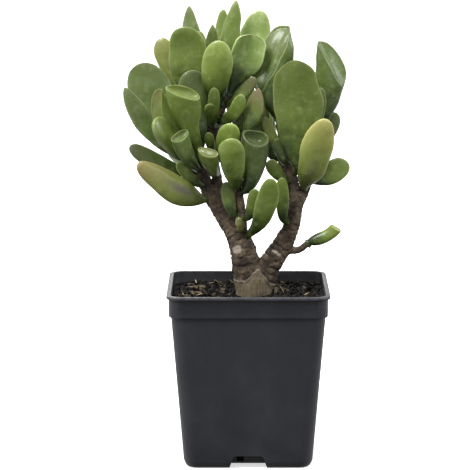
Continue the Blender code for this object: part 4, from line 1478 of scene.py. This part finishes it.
@dataclass
class PottingMix:
    """The top of the soil, crumbly and uneven, with crumbs, bark chips and straw lying on it."""

    pot: Pot
    level: float = 93.9
    under: float = 92.4
    bed: float = 41.0
    bed_corner: float = 6.5
    stem_room: float = 11.5
    rows: int = 56
    columns: int = 360

    def height(self, x: np.ndarray, y: np.ndarray) -> np.ndarray:
        """Return the soil's height: three sizes of lattice noise, and a heap round the stem.

        Args:
            x: The places along X.
            y: The places along Y.

        Returns:
            One height for each place.
        """
        flat = np.stack([x, y, np.zeros_like(x)], axis=-1).reshape(-1, 3)
        lumps = (0.75 * lattice_noise(flat, 9.0, 41) + 0.5 * lattice_noise(flat, 3.2, 42)
                 + 0.3 * lattice_noise(flat, 1.3, 43)).reshape(x.shape)
        heap = 0.9 * np.exp(-((x - STEM_X) ** 2 + (y - STEM_Y) ** 2) / 260.0)
        return self.level + lumps * 0.9 + heap

    def top(self) -> Surface:
        """Return the slab of the soil's top.

        Rings shrink from the pot's wall to the middle. The upper ones follow the height, and two lower ones
        close the slab a little below the level of the soil.

        Returns:
            The closed slab.
        """
        angle = round_angles(self.columns)
        reach = self.pot.band_side / 2 - self.pot.wall - 0.35
        outer = reach / (np.abs(np.cos(angle)) ** 9 + np.abs(np.sin(angle)) ** 9) ** (1.0 / 9.0)
        share = np.concatenate([[0.02, 1.0], np.linspace(1.0, 0.02, self.rows)])
        x = share[:, None] * outer * np.cos(angle)
        y = share[:, None] * outer * np.sin(angle)
        z = self.height(x, y)
        z[:2] = self.under
        return close_ends(np.stack([x, y, z], axis=2))

    def scatter(self, count: int, size: Sequence[float], spread: float, tilt: float, seed: int,
                sink: float = 0.2) -> Surface:
        """Return many small rough lumps lying on the soil, as one surface of a few dozen faces each.

        Args:
            count: How many.
            size: Their half length, half breadth and half thickness in millimetres.
            spread: How much the sizes differ, as a share.
            tilt: How far they lean from level, from 0 to 1.
            seed: What the random numbers start from.
            sink: How deep they sit, as a share of their half thickness.

        Returns:
            The lumps.
        """
        rng = np.random.default_rng(seed)
        polar = np.linspace(0.0, math.pi, LUMP_RINGS + 2)[1:-1]
        angle = round_angles(LUMP_SIDES)
        ball = np.stack([np.cos(polar)[:, None] + 0.0 * angle, np.sin(polar)[:, None] * np.cos(angle),
                         np.sin(polar)[:, None] * np.sin(angle)], axis=2)
        shape = close_ends(ball)
        lumps = shape.points * (1.0 + rng.uniform(-0.4, 0.3, (count, len(shape.points), 1)))
        scale = np.exp(rng.normal(0.0, spread, (count, 1, 1))) * np.array(size)
        heading = rng.uniform(0.0, math.pi, count)
        spin = np.stack([np.cos(heading), 0.0 * heading, 0.0 * heading, np.sin(heading)], axis=1)
        lean = unit(np.concatenate([np.ones((count, 1)), tilt * rng.normal(0.0, 0.5, (count, 3))], axis=1))
        lumps = turned(turned(lumps * scale, spin), lean)
        places = rng.uniform(-self.bed, self.bed, (4 * count, 2))
        clear = np.hypot(places[:, 0] - STEM_X, places[:, 1] - STEM_Y) > self.stem_room
        past = np.maximum(np.abs(places) - (self.bed - self.bed_corner), 0.0)
        places = places[clear & (np.hypot(past[:, 0], past[:, 1]) < self.bed_corner)][:count]
        ground = self.height(places[:, 0], places[:, 1]) + scale[:, 0, 2] * (1.0 - 2.0 * sink)
        lumps = lumps + np.concatenate([places, ground[:, None]], axis=1)[:, None]
        starts = np.arange(count)[:, None, None] * len(shape.points)
        return Surface(lumps.reshape(-1, 3), (shape.faces + starts).reshape(-1, 4))

    def build(self) -> bpy.types.Material:
        """Build the soil's top and what lies on it.

        Returns:
            The soil's material, for the rest of the soil.
        """
        soil = MixFinish("soil_mix", (0.004, 0.0035, 0.003), (0.013, 0.0105, 0.009), 420.0, 0.88)
        bark = MixFinish("bark_chip", (0.024, 0.017, 0.011), (0.125, 0.092, 0.052), 120.0, 0.75)
        straw = MixFinish("straw", (0.20, 0.16, 0.09), (0.46, 0.38, 0.23), 300.0, 0.6)
        earth = soil.material()
        loose = (
            ("loose_crumbs", self.scatter(800, (0.9, 0.6, 0.4), 0.4, 1.4, 51), earth),
            ("bark_chips", self.scatter(64, (3.3, 1.2, 0.45), 0.35, 0.6, 52), bark.material()),
            ("straw_bits", self.scatter(34, (3.4, 0.35, 0.25), 0.4, 0.4, 53, -0.4), straw.material()),
        )
        settle(self.top().make("soil_top", earth), "soil_mix")
        for name, surface, material in loose:
            made = surface.make(name, material)
            made.data.set_sharp_from_angle(angle=math.radians(35.0))
            settle(made, "soil_mix")
        return earth


# --- Studio ---


@dataclass(frozen=True)
class SoftLight:
    """A large soft lamp that points at the plant."""

    name: str
    place: Tuple[float, float, float]
    size: float
    power: float
    aim: Tuple[float, float, float] = (0.0, 0.0, 0.14)

    def build(self) -> None:
        """Hang the lamp and aim it at the middle of the plant."""
        lamp = bpy.data.lights.new(self.name, "AREA")
        lamp.shape = "DISK"
        lamp.size = self.size
        lamp.energy = self.power
        made = bpy.data.objects.new(self.name, lamp)
        made.location = self.place
        x, y, z = np.array(self.aim) - np.array(self.place)
        made.rotation_euler = (math.atan2(math.hypot(x, y), -z), 0.0, math.atan2(y, x) - math.pi / 2)
        bpy.context.scene.collection.objects.link(made)


@dataclass(frozen=True)
class Studio:
    """A pale floor, a white surround, three soft lamps and the camera."""

    lights: Tuple[SoftLight, ...] = (
        SoftLight("key", (-1.1, -1.1, 2.1), 0.9, 50.0),
        SoftLight("fill", (1.9, -0.1, 1.2), 1.2, 16.0),
        SoftLight("rim", (-0.4, 1.9, 1.7), 1.2, 24.0),
    )
    surround: float = 0.85
    brighter: Tuple[float, float, float] = (-0.08, 0.38, 0.6)
    floor_reach: float = 20.0
    floor_tone: Colour = (0.86, 0.86, 0.86)
    lens: float = 194.1
    stand: Tuple[float, float, float] = (-0.0075, -1.43312, 0.34893)
    tilt: float = 81.25

    def floor(self) -> None:
        """Lay the floor, a large sheet with a pale, faintly mottled finish."""
        x, y = np.array([[-1.0, 1.0, 1.0, -1.0], [-1.0, -1.0, 1.0, 1.0]]) * (self.floor_reach / MM)
        paint = Paint("studio_floor")
        mottle = paint.noise(paint.place(), 3.0)
        fixed = {"Emission Color": (*WHITE, 1.0), "Emission Strength": 0.6, "Specular IOR Level": 0.0}
        white = paint.finish(paint.shift(self.floor_tone, mottle, 0.02), mottle * 0.1 + 0.8, None, fixed)
        sheet = Surface(np.stack([x, y, np.zeros(4)], axis=1), np.array([[0, 1, 2, 3]]))
        made = sheet.make("studio_floor", white)
        made.visible_diffuse = False
        made.visible_glossy = False

    def camera(self) -> None:
        """Set the camera up 1.45 m away, looking down by 8.75 degrees."""
        lens = bpy.data.cameras.new("camera")
        lens.lens = self.lens
        lens.sensor_width = 36.0
        lens.clip_end = 100.0
        made = bpy.data.objects.new("camera", lens)
        made.location = self.stand
        made.rotation_euler = (math.radians(self.tilt), 0.0, 0.0)
        bpy.context.scene.collection.objects.link(made)
        bpy.context.scene.camera = made

    def sky(self) -> None:
        """Surround the scene with white, its strength a base plus the direction dot the brighter way."""
        world = bpy.data.worlds.new("studio")
        world.use_nodes = True
        nodes = Nodes(world.node_tree)
        where = nodes.node("ShaderNodeTexCoord", {}, {}, "Generated")
        lean = nodes.node("ShaderNodeVectorMath", {"operation": "DOT_PRODUCT"}, {0: where, 1: self.brighter},
                          "Value")
        inputs = world.node_tree.nodes["Background"].inputs
        nodes.feed(inputs["Color"], WHITE)
        nodes.feed(inputs["Strength"], Field(nodes, lean) + self.surround)
        bpy.context.scene.world = world

    def build(self) -> None:
        """Set up the surround, the lamps, the floor and the camera."""
        self.sky()
        bpy.context.scene.view_settings.view_transform = "Standard"
        for light in self.lights:
            light.build()
        self.floor()
        self.camera()


def main() -> None:
    """Load the frame, build every piece in it and set up the studio."""
    logging.basicConfig(level=logging.INFO, format="%(name)s: %(message)s")
    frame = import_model()
    shoots = {name: Shoot(points) for name, points in SHOOTS.items()}
    pot = Pot(PlasticFinish())
    pot.build()
    earth = PottingMix(pot).build()
    dress(frame["nodes"]["soil"], earth)
    Stem(shoots, BarkFinish()).build()
    Foliage(shoots, LEAVES).build()
    Studio().build()


if __name__ == "__main__":
    main()
